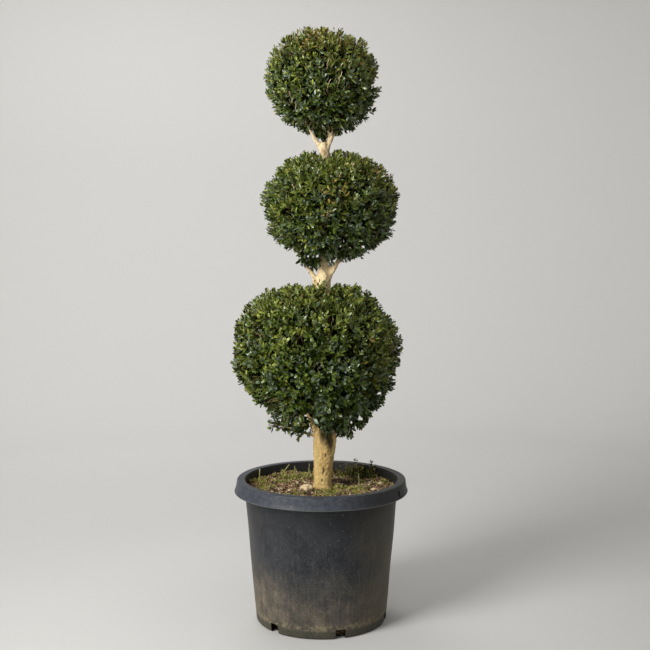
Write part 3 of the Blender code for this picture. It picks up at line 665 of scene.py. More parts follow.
# Bark chips and grit that lie on the soil: how many, tones and sizes
grains = {
    "chips_tan": dict(count=2900, tones=((0.53, 0.40, 0.240), (0.36, 0.25, 0.140)), size=(0.0030, 0.0105)),
    "chips_red": dict(count=3300, tones=((0.40, 0.225, 0.125), (0.24, 0.125, 0.066)), size=(0.003, 0.010)),
    "chips_dark": dict(count=3200, tones=((0.05, 0.035, 0.026), (0.10, 0.068, 0.046)), size=(0.003, 0.009)),
    "grit_pale": dict(count=2400, tones=((0.78, 0.68, 0.48), (0.56, 0.45, 0.30)), size=(0.0022, 0.0085)),
}
grain = {
    "bareShare": 0.018,  # of the area, round the trunk
    "underMoss": (0.25, 1.0), "inTrunkShade": (0.3, 1.0), "coverLimit": 0.55,
    "sizePower": 1.8, "width": (0.5, 0.9), "height": (0.28, 0.6), "corner": (0.72, 1.18),
    "flatShare": 0.62, "lift": (0.02, 0.26),
    # the first chips_red lie in the drain holes: how many, turn in degrees, depth behind the wall, and lift
    "drained": 18, "drainTurn": 4.5, "drainDepth": (0.008, 0.013), "drainLift": 0.3,
}


def blobShape():
    # The twelve corners and twenty faces of a regular solid, with its radius at 1
    golden = (1 + math.sqrt(5)) / 2
    corners = unit(np.array([
        (-1, golden, 0), (1, golden, 0), (-1, -golden, 0), (1, -golden, 0), (0, -1, golden), (0, 1, golden),
        (0, -1, -golden), (0, 1, -golden), (golden, 0, -1), (golden, 0, 1), (-golden, 0, -1), (-golden, 0, 1),
    ], float))
    faces = np.array([
        (0, 11, 5), (0, 5, 1), (0, 1, 7), (0, 7, 10), (0, 10, 11), (1, 5, 9), (5, 11, 4), (11, 10, 2),
        (10, 7, 6), (7, 1, 8), (3, 9, 4), (3, 4, 2), (3, 2, 6), (3, 6, 8), (3, 8, 9), (4, 9, 5), (2, 4, 11),
        (6, 2, 10), (8, 6, 7), (9, 8, 1),
    ])
    return corners, faces


def grainMaterial(name, tones):
    material = plainMaterial(name, tones, 150.0, 0.85, 0.8)
    addBump(material.node_tree, noise(material.node_tree, 900.0, 3.0), 0.5, 0.0006)
    return material


def onSoil(bareShare, count, rng):
    # Even places over the ring between the trunk and the wall: the radius goes by the root of the area
    edge = wallRadius(soil["level"]) - pot["wall"] - soil["edgeGap"]
    radius = edge * np.sqrt(rng.uniform(bareShare, 1, count))
    turn = rng.uniform(0, math.tau, count)
    return radius * np.cos(turn), radius * np.sin(turn)


def looseTurns(count, rng):
    # A tilt and then a turn round Z: the tilt is the flat share of no turn plus the rest of a random one
    level = np.eye(3) * grain["flatShare"] + randomTurns(count, rng) * (1 - grain["flatShare"])
    spin = rng.uniform(0, math.tau, count)
    turns = np.zeros((count, 3, 3))
    turns[:, 0, 0] = turns[:, 1, 1] = np.cos(spin)
    turns[:, 0, 1], turns[:, 1, 0] = -np.sin(spin), np.sin(spin)
    turns[:, 2, 2] = 1
    return turns @ level


def drainPlaces(rng):
    # Places just inside the drain holes, dealt out at random
    count = grain["drained"]
    drain = rng.integers(0, pot["drains"], count)
    wander = rng.uniform(-grain["drainTurn"], grain["drainTurn"], count)
    turn = np.radians(pot["drainTurn"] + drain * 360 / pot["drains"] + wander)
    inner = pot["footRadius"] - rng.uniform(*grain["drainDepth"], count)
    return inner * np.cos(turn), inner * np.sin(turn)


def makeGrains():
    # Each grain is the regular solid with its corners pushed in and out, drawn long and flat, and turned
    rng = np.random.default_rng(soil["seed"])
    corners, faces = blobShape()
    for name, kind in grains.items():
        x, y = onSoil(grain["bareShare"], kind["count"], rng)
        covered = mossShare(x, y) * rng.uniform(*grain["underMoss"], len(x))
        # only the dark chips lie in the painted trunk shadow
        if name != "chips_dark":
            covered += trunkShadeShare(x, y) * rng.uniform(*grain["inTrunkShade"], len(x))
        keep = covered < grain["coverLimit"]
        x, y, count = x[keep], y[keep], int(keep.sum())
        smallest, largest = kind["size"]
        size = smallest + (largest - smallest) * rng.uniform(0, 1, count) ** grain["sizePower"]
        width, height = rng.uniform(*grain["width"], count), rng.uniform(*grain["height"], count)
        shape = size[:, None] / 2 * np.stack([np.ones(count), width, height], -1)
        local = corners * rng.uniform(*grain["corner"], (count, len(corners), 1)) * shape[:, None]
        placed = np.einsum("nij,nkj->nki", looseTurns(count, rng), local)
        ground = soilTop(x, y) + size * rng.uniform(*grain["lift"], count)
        if name == "chips_red":
            first = grain["drained"]
            x[:first], y[:first] = drainPlaces(rng)
            ground[:first] = pot["floor"] + size[:first] * grain["drainLift"]
        placed += np.stack([x, y, ground], -1)[:, None]
        allFaces = (faces + (np.arange(count) * len(corners))[:, None, None]).reshape(-1, 3)
        material = grainMaterial(name, kind["tones"])
        obj = makeObject("soil_" + name, placed.reshape(-1, 3), [allFaces], material, False)
        finishPiece(obj, ["soil"])


stones = {  # x, y, half sizes, turn
    "big": (-0.0365, -0.038, (0.0142, 0.0108, 0.0105), 0.45),
    "second": (0.043, 0.012, (0.0080, 0.0065, 0.0050), 1.1),
    "third": (0.135, -0.020, (0.0075, 0.0060, 0.0045), 2.0),
    "fourth": (-0.078, -0.040, (0.0065, 0.0055, 0.0040), 0.2),
    "fifth": (0.158, 0.040, (0.0070, 0.0060, 0.0045), 0.8),
    "sixth": (-0.105, -0.020, (0.0060, 0.0050, 0.0035), 1.7),
}


stone = {
    "sides": 28, "rows": 18, "squareness": 0.74, "sunk": 0.45,
    "waves": ((0.15, 1.1, 30), (0.07, 0.40, 60)),  # height, size and first seed
    "tones": ((0.74, 0.61, 0.40), (0.54, 0.41, 0.24)),
}


def makeStones():
    # A stone is a sphere over two angles, squared off and broken by noise
    rises = np.linspace(0, math.pi, stone["rows"])
    sphere, faces = turned(np.stack([np.sin(rises), np.cos(rises)], -1), stone["sides"])
    sphere = np.sign(sphere) * np.abs(sphere) ** stone["squareness"]
    shapes = []
    for i, (x, y, sizes, turn) in enumerate(stones.values()):
        swell = sum((height * waves(sphere, size, seed + i) for height, size, seed in stone["waves"]), 1)
        place = np.array([x, y, float(soilHeight(np.array(x), np.array(y))) + sizes[2] * stone["sunk"]])
        shapes.append((sphere * swell[:, None] * sizes @ turnRound(turn) + place, faces))
    obj = makeObject("soil_stones", *joinShapes(shapes), grainMaterial("paleStone", stone["tones"]))
    finishPiece(obj, ["soil"])


moss = {
    "tufts": 7000, "tries": 4, "bareShare": 0.02, "odds": (0.15, 1.0), "blades": 5,
    "height": (0.0035, 0.0115), "width": 0.0026, "lean": 0.95, "leanShare": (0.3, 1.2), "sunk": 0.0008,
    "mound": (0.105, 0.140, 0.050), "moundHeight": 1.7,
}
mossKinds = {  # the last is the mound's
    "soil_moss_yellow": ((0.560, 0.505, 0.150), (0.340, 0.310, 0.080)),
    "soil_moss_green": ((0.270, 0.285, 0.060), (0.115, 0.130, 0.028)),
    "soil_moss_dark": ((0.100, 0.088, 0.030), (0.050, 0.044, 0.016)),
}


def makeMoss():
    # Each tuft is a star of blades: two corners at the foot and one at the tip, leaning out of the middle
    rng = np.random.default_rng(soil["seed"] + 1)
    x, y = onSoil(moss["bareShare"], moss["tufts"] * moss["tries"], rng)
    chosen = np.flatnonzero(mossShare(x, y) > rng.uniform(*moss["odds"], len(x)))[:moss["tufts"]]
    x, y = x[chosen], y[chosen]
    blades = moss["blades"]
    moundX, moundY, moundRadius = moss["mound"]
    onMound = np.hypot(x - moundX, y - moundY) < moundRadius
    growing = np.where(onMound, moss["moundHeight"], 1.0)[:, None]
    height = rng.uniform(*moss["height"], (len(x), blades)) * growing
    angle = rng.uniform(0, math.tau, (len(x), 1)) + np.arange(blades) * math.tau / blades
    out = np.stack([np.cos(angle), np.sin(angle), np.zeros_like(angle)], -1)
    across = np.stack([-out[..., 1], out[..., 0], out[..., 2]], -1) * moss["width"] / 2
    foot = np.stack([x, y, soilTop(x, y) - moss["sunk"]], -1)[:, None]
    lean = moss["lean"] * rng.uniform(*moss["leanShare"], height.shape)
    tip = foot + height[..., None] * unit(out * lean[..., None] + [0, 0, 1])
    points = np.stack([foot + across, foot - across, tip], -2)
    kinds = np.where(onMound, 2, rng.integers(0, 2, len(x)))
    for kind, (name, tones) in enumerate(mossKinds.items()):
        part = points[kinds == kind].reshape(-1, 3)
        faces = np.arange(len(part)).reshape(-1, 3)
        obj = makeObject(name, part, [faces], plainMaterial(name, tones, 60.0))
        finishPiece(obj, ["soil"])


makeSoil()
makeGrains()
makeStones()
makeMoss()
print("soil made")

# Trunk and boughs, by the frame's own paths

trunkStations = np.array([  # x, y, height and radius, from soil level to the top fork
    (0.003, 0.000, soil["level"] + 0.0003, 0.0262),
    (0.003, 0.000, 0.352, 0.0238),
    (0.0035, 0.000, 0.375, 0.0234),
    (0.0055, 0.001, 0.402, 0.0248),
    (0.0070, 0.002, 0.430, 0.0265),
    (0.0080, 0.003, 0.455, 0.0292),
    (0.0095, 0.004, 0.480, 0.0284),
    (0.010, 0.005, 0.510, 0.0245),
    (0.008, 0.005, 0.600, 0.0212),
    (0.005, 0.004, 0.740, 0.0200),
    (0.005, 0.001, 0.862, 0.0198),
    (0.0052, 0.000, 0.885, 0.0200),
    (0.0065, 0.000, 0.915, 0.0122),
    (0.012, 0.003, 1.000, 0.0124),
    (0.014, 0.003, 1.110, 0.0128),
    (0.0094, 0.000, 1.195, 0.0128),
    (0.0086, 0.000, 1.214, 0.0138),
])

boughs = {  # foot height on the trunk, azimuth, rise and bend in degrees, length, foot and tip radius
    "bough_low_left": (0.444, 205, 62, 6, 0.112, 0.0112, 0.0060),
    "bough_low_side": (0.470, 180, 13, 6, 0.098, 0.0050, 0.0030),
    "bough_low_right": (0.422, -10, 71, -5, 0.134, 0.0096, 0.0052),
    "bough_low_back_right": (0.462, 62, 50, 4, 0.112, 0.0092, 0.0056),
    "bough_low_back_left": (0.472, 128, 48, 6, 0.108, 0.0088, 0.0054),
    "bough_low_front": (0.478, -62, 44, 6, 0.104, 0.0080, 0.0050),
    "bough_mid_left": (0.864, 190, 42, 22, 0.100, 0.0068, 0.0038),
    "bough_mid_right": (0.877, -10, 50, 8, 0.104, 0.0102, 0.0038),
    "bough_mid_back": (0.886, 96, 54, 4, 0.092, 0.0070, 0.0040),
    "bough_top_right": (1.200, -6, 76, -26, 0.104, 0.0112, 0.0044),
    "bough_top_left": (1.202, 184, 54, 8, 0.106, 0.0088, 0.0038),
    "bough_top_back": (1.202, 92, 64, 2, 0.092, 0.0072, 0.0042),
}
innerBough = {
    "name": "bough_top_inner", "carrier": "bough_top_right", "share": 0.40,
    "sizes": (150, 86, 0, 0.050, 0.0056, 0.0036),
}

# bark ridges that fill the forks: x, y, z and radius at the foot and at the top
crotches = (
    ((0.0070, -0.0010, 1.208, 0.0120), (0.0086, -0.0020, 1.2290, 0.0086)),
    ((0.0140, 0.0, 0.890, 0.0140), (0.0215, 0.0, 0.921, 0.0045)),
    ((-0.0010, 0.0, 0.885, 0.0120), (-0.0060, 0.0, 0.908, 0.0040)),
    ((-0.0110, -0.004, 0.862, 0.0026), (-0.0192, -0.004, 0.876, 0.0019)),
    ((-0.0192, -0.004, 0.875, 0.0019), (-0.0205, -0.004, 0.902, 0.0016)),
)

wood = {
    "trunkSamples": 8, "boughSteps": 6, "boughSamples": 4, "taper": 1.4, "sides": 28, "boughSides": 16,
    "footDepth": 0.004, "ridgeSteps": 6, "voxel": 0.0016, "smoothings": 7,
    "thinner": {"bough_top_right": 0.84, "bough_top_left": 0.86},
    # height and size of the swellings, how they are stretched along Z, and their seed
    "swells": ((0.0006, 0.030, 0.6, 25), (0.00040, 0.010, 1, 26)),
    "ring": (0.35, 1.6, 0.5), "scarDark": (0.15, 0.75), "dark": 0.95,
}
# lines in the bark: patches are where they show, over a second noise
fissures = {
    "size": 0.0085, "stretch": 0.24, "width": 0.20, "depth": 0.0003, "dark": 0.32, "seed": 21,
    "patchSize": 0.03, "patches": (-0.6, 0.8),
}
cracks = {
    "size": 0.0042, "stretch": 0.4, "width": 0.13, "depth": 0.0004, "dark": 0.35, "seed": 23,
    "patchSize": 0.02, "patches": (0.2, 1.4),
}
# knots and scars: height, azimuth, half width, half height, depth
scars = np.array([
    (0.391, -84, 0.0026, 0.0075, 0.0022), (0.384, -90, 0.0020, 0.0040, 0.0014),
    (0.366, -92, 0.0024, 0.0036, 0.0018), (0.431, -80, 0.0022, 0.0062, 0.0013),
    (0.405, 150, 0.0045, 0.0065, 0.0022), (0.420, 40, 0.0050, 0.0060, 0.0022),
    (0.487, -68, 0.0115, 0.0185, 0.0080), (0.494, -96, 0.0095, 0.0130, 0.0050),
    (0.463, -50, 0.0095, 0.0190, 0.0080), (0.372, 10, 0.0030, 0.0060, 0.0016),
    (0.868, -60, 0.0028, 0.0040, 0.0012), (0.880, -118, 0.0022, 0.0050, 0.0010),
])


def smoothPath(stations, samples):
    # Catmull-Rom curve through stations of x, y, z and radius; the first stretch stays straight
    count = len(stations)
    spots = np.arange(count - 1)
    before, start, end, after = (stations[np.clip(spots + k, 0, count - 1)][:, None] for k in (-1, 0, 1, 2))
    t = (np.arange(1, samples + 1) / samples)[None, :, None]
    curve = start + 0.5 * ((end - before) * t + (2 * before - 5 * start + 4 * end - after) * t**2
                           + (3 * start - before - 3 * end + after) * t**3)
    curve[0] = (start + (end - start) * t)[0]
    return np.concatenate([stations[:1], curve.reshape(-1, 4)])


def boughStations(foot, azimuth, rise, bend, length, footRadius, tipRadius):
    # Even steps along a heading whose slope bends evenly; the radius falls with (1 - share) to a power
    share = np.arange(1, wood["boughSteps"] + 1) / wood["boughSteps"]
    turn, slope = math.radians(azimuth), np.radians(rise + bend * share)
    heading = np.stack([math.cos(turn) * np.cos(slope), math.sin(turn) * np.cos(slope), np.sin(slope)], -1)
    steps = np.concatenate([[foot], foot + np.cumsum(heading * length / wood["boughSteps"], 0)])
    radii = np.append(footRadius, tipRadius + (footRadius - tipRadius) * (1 - share) ** wood["taper"])
    return np.column_stack([steps, radii])


def limbPaths():
    paths = {"trunk": smoothPath(trunkStations, wood["trunkSamples"])}
    axis = paths["trunk"]
    stations = {}
    for name, (height, *sizes) in boughs.items():
        foot = np.array([np.interp(height, axis[:, 2], axis[:, i]) for i in range(3)])
        stations[name] = boughStations(foot, *sizes)
    fork = stations[innerBough["carrier"]][round(innerBough["share"] * wood["boughSteps"]), :3]
    stations[innerBough["name"]] = boughStations(fork, *innerBough["sizes"])
    paths.update({name: smoothPath(rows, wood["boughSamples"]) for name, rows in stations.items()})
    return paths


limbs = limbPaths()


barkTones = {
    "pale": (0.68, 0.480, 0.205), "other": (0.51, 0.330, 0.122), "green": (0.40, 0.35, 0.12),
    "middle": (0.88, 0.715, 0.435), "top": (0.78, 0.635, 0.405), "rust": (0.36, 0.205, 0.080),
    "shade": (0.27, 0.175, 0.070), "crotchShade": (0.088, 0.070, 0.023), "crack": (0.062, 0.044, 0.019),
    "flecks": (0.24, 0.165, 0.070),
}
# cells to the metre, detail, stretch and roughness
barkNoises = {
    "patches": (75.0, 4.0, (1, 1, 0.22)), "green": (26.0, 3.0, (1, 1, 0.5)),
    "rust": (44.0, 5.0, (1, 1, 0.60), 0.68), "shade": (60.0, 3.0), "crotchShade": (90.0, 4.0, (1, 1, 0.5)),
    "flecks": (120.0, 5.0, (1, 1, 0.6), 0.7), "fine": (420.0, 4.0, (1, 1, 0.25)),
    "broad": (150.0, 3.0, (1, 1, 0.4)),
}
# where each layer starts and ends, over its own noise or the height, and its strength at both
barkFades = {
    "patches": (0.36, 0.66), "green": (0.50, 0.68, 0.0, 0.50), "middleUp": (0.55, 0.85, 0.0, 0.80),
    "topUp": (1.00, 1.15, 0.0, 0.75), "rust": (0.50, 0.68, 0.0, 0.70), "lowForkUp": (0.540, 0.580),
    "lowForkDown": (0.70, 0.60), "middleForkUp": (0.905, 0.935), "middleForkDown": (1.10, 1.00),
    "topForkUp": (1.258, 1.290), "shade": (0.35, 0.60, 0.15, 0.62), "crotchShade": (0.30, 0.62, 0.60, 1.0),
    "flecks": (0.53, 0.68, 0.0, 0.65),
}
# painted shade round the low crotch, under the leaves: the oval's centre, half sizes, and the gap in half
# sizes where it is full and where it ends
crotchShade = {"centre": (0.0135, -0.018, 0.481), "halfSizes": (0.0215, 0.040, 0.033), "full": 0.5, "rim": 1.1}


def crotchShadeShare(tree):
    # 1 inside an oval round a place and 0 outside: the gap over the half sizes, by its length
    scale = tuple(1 / half for half in crotchShade["halfSizes"])
    gap = objectPlace(tree, scale, tuple(-at * part for at, part in zip(crotchShade["centre"], scale)))
    return ramp(tree, lengthOf(tree, gap), crotchShade["rim"], crotchShade["full"])


def barkMaterial():
    # Pale bark: two tones in long patches, green and rusty bloom, painted olive-brown shade under the leaves
    # of each fork and round the low crotch, and dark in every crack and scar
    material, tree, shader = newMaterial("paleBark", 0.78, 0.3)
    grainy = {name: noise(tree, *sizes) for name, sizes in barkNoises.items()}
    height = addNode(tree, "ShaderNodeSeparateXYZ", {"Vector": objectPlace(tree)}).outputs["Z"]

    def fade(name, value=None):
        return ramp(tree, grainy[name] if value is None else value, *barkFades[name])

    base = mixColours(tree, fade("patches"), colour(barkTones["pale"]), colour(barkTones["other"]))
    base = cover(tree, base, fade("green"), barkTones["green"])
    base = cover(tree, base, fade("middleUp", height), barkTones["middle"])
    base = cover(tree, base, fade("topUp", height), barkTones["top"])
    base = cover(tree, base, fade("rust"), barkTones["rust"])
    # painted olive-brown shade under the leaves of each fork
    low = times(tree, fade("lowForkUp", height), fade("lowForkDown", height))
    middle = times(tree, fade("middleForkUp", height), fade("middleForkDown", height))
    forks = mathNode(tree, "ADD", middle, plus(tree, fade("topForkUp", height), low), True)
    base = cover(tree, base, times(tree, forks, fade("shade")), barkTones["shade"])
    # painted shade in an oval round the low crotch
    base = cover(tree, base, times(tree, crotchShadeShare(tree), fade("crotchShade")), barkTones["crotchShade"])
    base = cover(tree, base, attribute(tree, "crack"), barkTones["crack"])
    base = cover(tree, base, fade("flecks"), barkTones["flecks"])
    tree.links.new(base, shader.inputs["Base Color"])
    addBump(tree, plus(tree, grainy["fine"], grainy["broad"]), 0.8, 0.0012)
    return material


def surfaceScars(points):
    # Each scar is a bell over its own half sizes, less a raised ring around it; returns the deepest share
    # and the depth at every point
    axis = limbs["trunk"]
    share, depth = np.zeros(len(points)), np.zeros(len(points))
    ringHeight, ringAway, ringWidth = wood["ring"]
    for height, azimuth, halfWidth, halfHeight, deep in scars:
        x, y, radius = (np.interp(height, axis[:, 2], axis[:, i]) for i in (0, 1, 3))
        turn = math.radians(azimuth)
        gap = points - [x + radius * math.cos(turn), y + radius * math.sin(turn), height]
        away = np.hypot(np.hypot(gap[:, 0], gap[:, 1]) / halfWidth, gap[:, 2] / halfHeight)
        share = np.maximum(share, np.exp(-away**2))
        depth += deep * (np.exp(-away**2) - ringHeight * np.exp(-((away - ringAway) / ringWidth) ** 2))
    return share, depth


def barkLines(points, lines):
    # 1 where a stretched noise crosses zero: e to the minus square of the noise over the width, in patches
    level = waves(points * [1, 1, lines["stretch"]], lines["size"], lines["seed"]) / lines["width"]
    shown = smoothStep(waves(points, lines["patchSize"], lines["seed"] + 1), *lines["patches"])
    return np.exp(-(level ** 2)) * shown


def meltedLimbs():
    # Limbs and ridges as tubes, melted into one skin
    shapes = []
    for name, path in limbs.items():
        points, radii = path[:, :3].copy(), path[:, 3] * wood["thinner"].get(name, 1.0)
        if name == "trunk":
            points[0, 2] -= wood["footDepth"]  # reaches into the crumbs
        sides = wood["sides"] if name == "trunk" else wood["boughSides"]
        shapes.append(tubes(points[None], radii, sides))
    for foot, top in crotches:
        ridge = np.linspace(foot, top, wood["ridgeSteps"])
        shapes.append(tubes(ridge[None, :, :3], ridge[:, 3], wood["boughSides"]))
    obj = makeObject("bark_skin", *joinShapes(shapes), barkMaterial())
    melt = obj.modifiers.new("melt", "REMESH")
    melt.mode = "VOXEL"
    melt.voxel_size = wood["voxel"]
    melt.use_smooth_shade = True
    ease = obj.modifiers.new("ease", "SMOOTH")
    ease.factor = 0.5
    ease.iterations = wood["smoothings"]
    applyModifiers(obj)
    return obj


def makeWood():
    # The skin is pushed in and out along its normals for swellings, long fissures, short cracks and scars
    obj = meltedLimbs()
    points, normals = meshArrays(obj.data)
    scarShare, scarDepth = surfaceScars(points)
    swells = wood["swells"]
    push = sum(height * waves(points * [1, 1, stretch], size, seed) for height, size, stretch, seed in swells)
    marks = [(lines, barkLines(points, lines)) for lines in (fissures, cracks)]
    push -= sum(lines["depth"] * share for lines, share in marks) + scarDepth
    dark = sum(lines["dark"] * share for lines, share in marks)
    points += normals * push[:, None]
    obj.data.vertices.foreach_set("co", points.astype(np.float32).ravel())
    obj.data.update()
    dark = np.clip(dark + smoothStep(scarShare, *wood["scarDark"]), 0, 1)
    setAttribute(obj.data, "crack", dark * wood["dark"])
    obj.data.shade_smooth()
    finishPiece(obj, list(limbs))


makeWood()
print("trunk and boughs made")

# Foliage: branches, twigs, shoots and leaves of the three balls

# swells are bells on the clipped outline: azimuth, rise, spread in degrees and height
balls = {
    "foliage_low": dict(
        x=-0.0130, z=0.6797, halfWidth=0.2223, up=0.1941, down=0.2213, roundUp=2.45, roundDown=1.51,
        footShift=0.031, limbs="bough_low", branches=46, twigs=350, shoots=4300, branchDepth=0.105,
        twigDepth=0.052, leafSize=1.06, lowerSize=0.30, collar=(0.016, 0.030), tips=0.0060, upright=0.0,
        slim=1.0, deepShare=1.30, leftFresh=0.10,
        swells=((180, 46, 16, 0.012), (0, 38, 12, -0.006), (0, 57, 10, 0.010), (0, 18, 10, 0.009),
                (180, 2, 14, -0.005), (180, -42, 8, -0.014), (0, -42, 9, -0.022), (0, -54, 8, -0.006),
                (-5, -62, 10, 0.006)),
    ),
    "foliage_middle": dict(
        x=0.0258, z=1.0711, halfWidth=0.1791, up=0.1464, down=0.1521, roundUp=2.06, roundDown=1.82,
        footShift=-0.006, limbs="bough_mid", branches=32, twigs=240, shoots=3000, branchDepth=0.086,
        twigDepth=0.046, leafSize=1.07, lowerSize=0.14, collar=(0.032, 0.030), tips=0.0065, upright=0.34,
        slim=0.83, deepShare=0.85, leftFresh=0.0,
        swells=((-90, 68, 15, -0.026), (0, 40, 12, 0.006), (180, 33, 8, 0.006), (180, 54, 10, 0.001),
                (0, 16, 10, -0.007), (0, -10, 7, -0.014), (0, -28, 11, 0.012), (0, -58, 10, -0.009),
                (180, -26, 10, 0.008), (180, 3, 8, 0.009), (180, -7, 7, 0.007)),
    ),
    "foliage_top": dict(
        x=0.0038, z=1.3675, halfWidth=0.1475, up=0.1470, down=0.1259, roundUp=2.41, roundDown=1.76,
        footShift=0.0045, limbs="bough_top", branches=24, twigs=210, shoots=2150, branchDepth=0.070,
        twigDepth=0.040, leafSize=1.0, lowerSize=0.12, collar=(0.0, 0.030), tips=0.0050, upright=0.50,
        slim=0.82, deepShare=0.70, leftFresh=0.45,
        swells=((180, 56, 16, 0.010), (0, 66, 9, -0.008), (180, 12, 12, 0.005), (180, 78, 10, -0.004),
                (0, 48, 8, -0.007), (0, -17, 9, 0.010), (0, -50, 10, 0.005)),
    ),
}

growth = {
    "seed": 41, "lump": 0.009, "goldenTurn": math.pi * (3 - math.sqrt(5)), "taper": 0.8,
    # rise is added to each direction, and stiffness is the share of a curve that keeps its tip's heading
    "branch": dict(turn=0.4, scatter=0.3, rise=0.25, stiffness=0.45, wobble=0.0012,
                   radii=(0.0034, 0.0021), sides=8),
    "twig": dict(turn=1.1, scatter=0.4, rise=0.2, stiffness=0.45, wobble=0.0007,
                 radii=(0.0018, 0.0012), sides=5),
    "shoot": dict(turn=0.0, scatter=0.40, stiffness=0.5, lean=0.20, radii=(0.00080, 0.00045), sides=3),
    # from how far below the ball's middle to how far above it the trunk bears branches, over its sizes
    "trunkShares": (0.75, 0.55), "batch": 500,
    "points": 8, "shootPoints": 4, "twigDepths": (0.85, 1.2), "rises": (-0.15, 0.85),
    "riseFrom": (-0.8, 0.2), "uprightFrom": (-0.9, 0.0), "fan": 1.1, "forkScatter": 0.3,
    "forkFeet": (0.020, 0.020, 0.040), "forkMiddle": 0.018, "limbClearance": 0.0022, "tipClearance": 0.001,
    "overshoot": 1.045, "overshootScatter": 0.012, "strayFrom": 0.003,
}
tufts = {
    "height": 0.0042, "heightLimit": 1.8, "dome": 0.0055, "domeSize": 0.55, "gap": 0.0135, "gapWidth": 0.38,
    "scatter": 0.0020, "gapThinning": 0.40, "footThinning": 0.30, "footFrom": (0.5, 0.95), "collarFrom": 0.4,
    # dents over the whole ball: depth, size and seed of a noise, and where it starts and is full
    "dents": ((0.008, 0.060, 9, 0.7, 1.9), (0.026, 0.021, 10, 0.50, 1.1)),
}
leaf = {
    "length": 0.0147, "width": 0.0068, "sizes": (0.74, 1.20), "innerSize": 1.85, "ownTint": 0.45,
    "pairDepths": (0.0012, 0.0060, 0.0125, 0.0200, 0.0285, 0.0380, 0.0480, 0.0590, 0.0710),
    "pairSizes": (0.55, 0.84, 1.0, 1.05, 1.05, 1.05, 1.05, 1.1, 1.1),
    "spreads": (20, 34, 44, 52, 60, 66, 70, 72, 74),  # degrees between leaf and stem, from the tip down
    "depthScale": (0.85, 1.2), "depthScatter": 0.0006, "shortest": 0.004, "turnScatter": 0.22,
    "spreadScatter": 9, "faceUp": 0.15, "faceScatter": 0.36, "missing": 0.16, "bareFoot": 0.06,
    "coatRoughness": 0.22, "roughness": (0.46, 0.68), "underside": (0.120, 0.150, 0.050), "waxyFrom": 0.3,
    "underShares": (0.12, 0.40), "specular": (0.03, 0.12),  # of a dull leaf and of a waxy one
}

leafOutline = {  # along the leaf, across it as a share of half its width, and height over the rim
    "along": np.array([0.0, 0.20, 0.50, 0.80, 1.0, 0.80, 0.50, 0.20, 0.50]),
    "across": np.array([0.0, -0.66, -1.0, -0.70, 0.0, 0.70, 1.0, 0.66, 0.0]),
    "lift": np.array([0.0, -0.004, -0.012, -0.040, -0.075, -0.040, -0.012, -0.004, 0.052]),
}

leafTints = {  # tone, other tone, and how waxy
    # cool: bluish leaves, their paler tone partly painted glints on the lower halves
    "cool": ((0.066, 0.105, 0.050), (0.130, 0.174, 0.102), 1.0),
    # deep: dark old leaves, and painted shade on the undersides and inside the balls
    "deep": ((0.0115, 0.0205, 0.0015), (0.025, 0.041, 0.003), 0.15),
    "green": ((0.074, 0.114, 0.011), (0.112, 0.160, 0.024), 1.0),
    "olive": ((0.156, 0.172, 0.016), (0.115, 0.139, 0.012), 0.70),
    "fresh": ((0.206, 0.247, 0.034), (0.292, 0.325, 0.062), 0.65),
    "bronze": ((0.330, 0.272, 0.055), (0.195, 0.122, 0.032), 0.35),
    # inner: near black, painted shade on the leaves deep inside the balls
    "inner": ((0.0035, 0.0065, 0.0025), (0.0080, 0.0135, 0.0045), 0.0),
}
tintNames = list(leafTints)
# weight of each tint: base, by height, by patches, by the top ball's golden crown, by tintPlaces, and least
tintWeights = {
    "cool": (0.42, -0.48, -0.10, 0, 0, 0.06),
    "deep": (0.38, -0.32, -0.12, 0, 0, 0.08),
    "green": (0.62, 0, 0, 0, 0, 0),
    "olive": (0.18, 0.36, 0.12, 0.6, 0, 0.04),
    "fresh": (0.15, 0.42, 0.16, 0.6, 0, 0.03),
    "bronze": (0.003, 0, 0, 0.60, 1.3, 0),
    "inner": (0, 0, 0, 0, 0, 0),
}
# how leaves age down a shoot: from which pair on, how often, the tint that changes (or any) and the new one;
# the deep and inner tints of the lower pairs are partly painted shade inside the ball
ageing = (
    (2, 0.60, "bronze", "olive"), (3, 1.0, "fresh", "green"), (3, 0.30, "any", "green"),
    (4, 0.80, "any", "deep"), (5, 0.60, "any", "inner"), (6, 1.0, "any", "inner"),
)
# the shoots that hang by the forks take mostly dark tints, as painted shade
hangingTints = ("cool", "deep", "deep", "deep", "green")  # of the shoots that hang by the forks
crown = {"heights": (0.35, 0.9), "leftFrom": (0.45, 0.95), "patchSize": 0.55}
# where golden and bronze tips gather on each ball: azimuth, rise, spread in degrees and strength
tintPlaces = {
    "foliage_low": ((-20, 8, 20, 0.26), (-50, -18, 12, 0.20), (-100, 48, 14, 0.08), (-78, 62, 12, 0.12),
                    (120, 20, 20, 0.2)),
    "foliage_middle": ((-30, 42, 18, 0.7), (-8, 8, 16, 0.6), (-115, 50, 9, 0.5), (-80, 12, 14, 0.35),
                       (70, 30, 22, 0.4)),
    "foliage_top": ((-42, 46, 20, 2.3), (-108, 60, 18, 2.0), (-75, 70, 20, 0.9), (-15, 5, 14, 0.5),
                    (60, 35, 24, 0.5)),
}
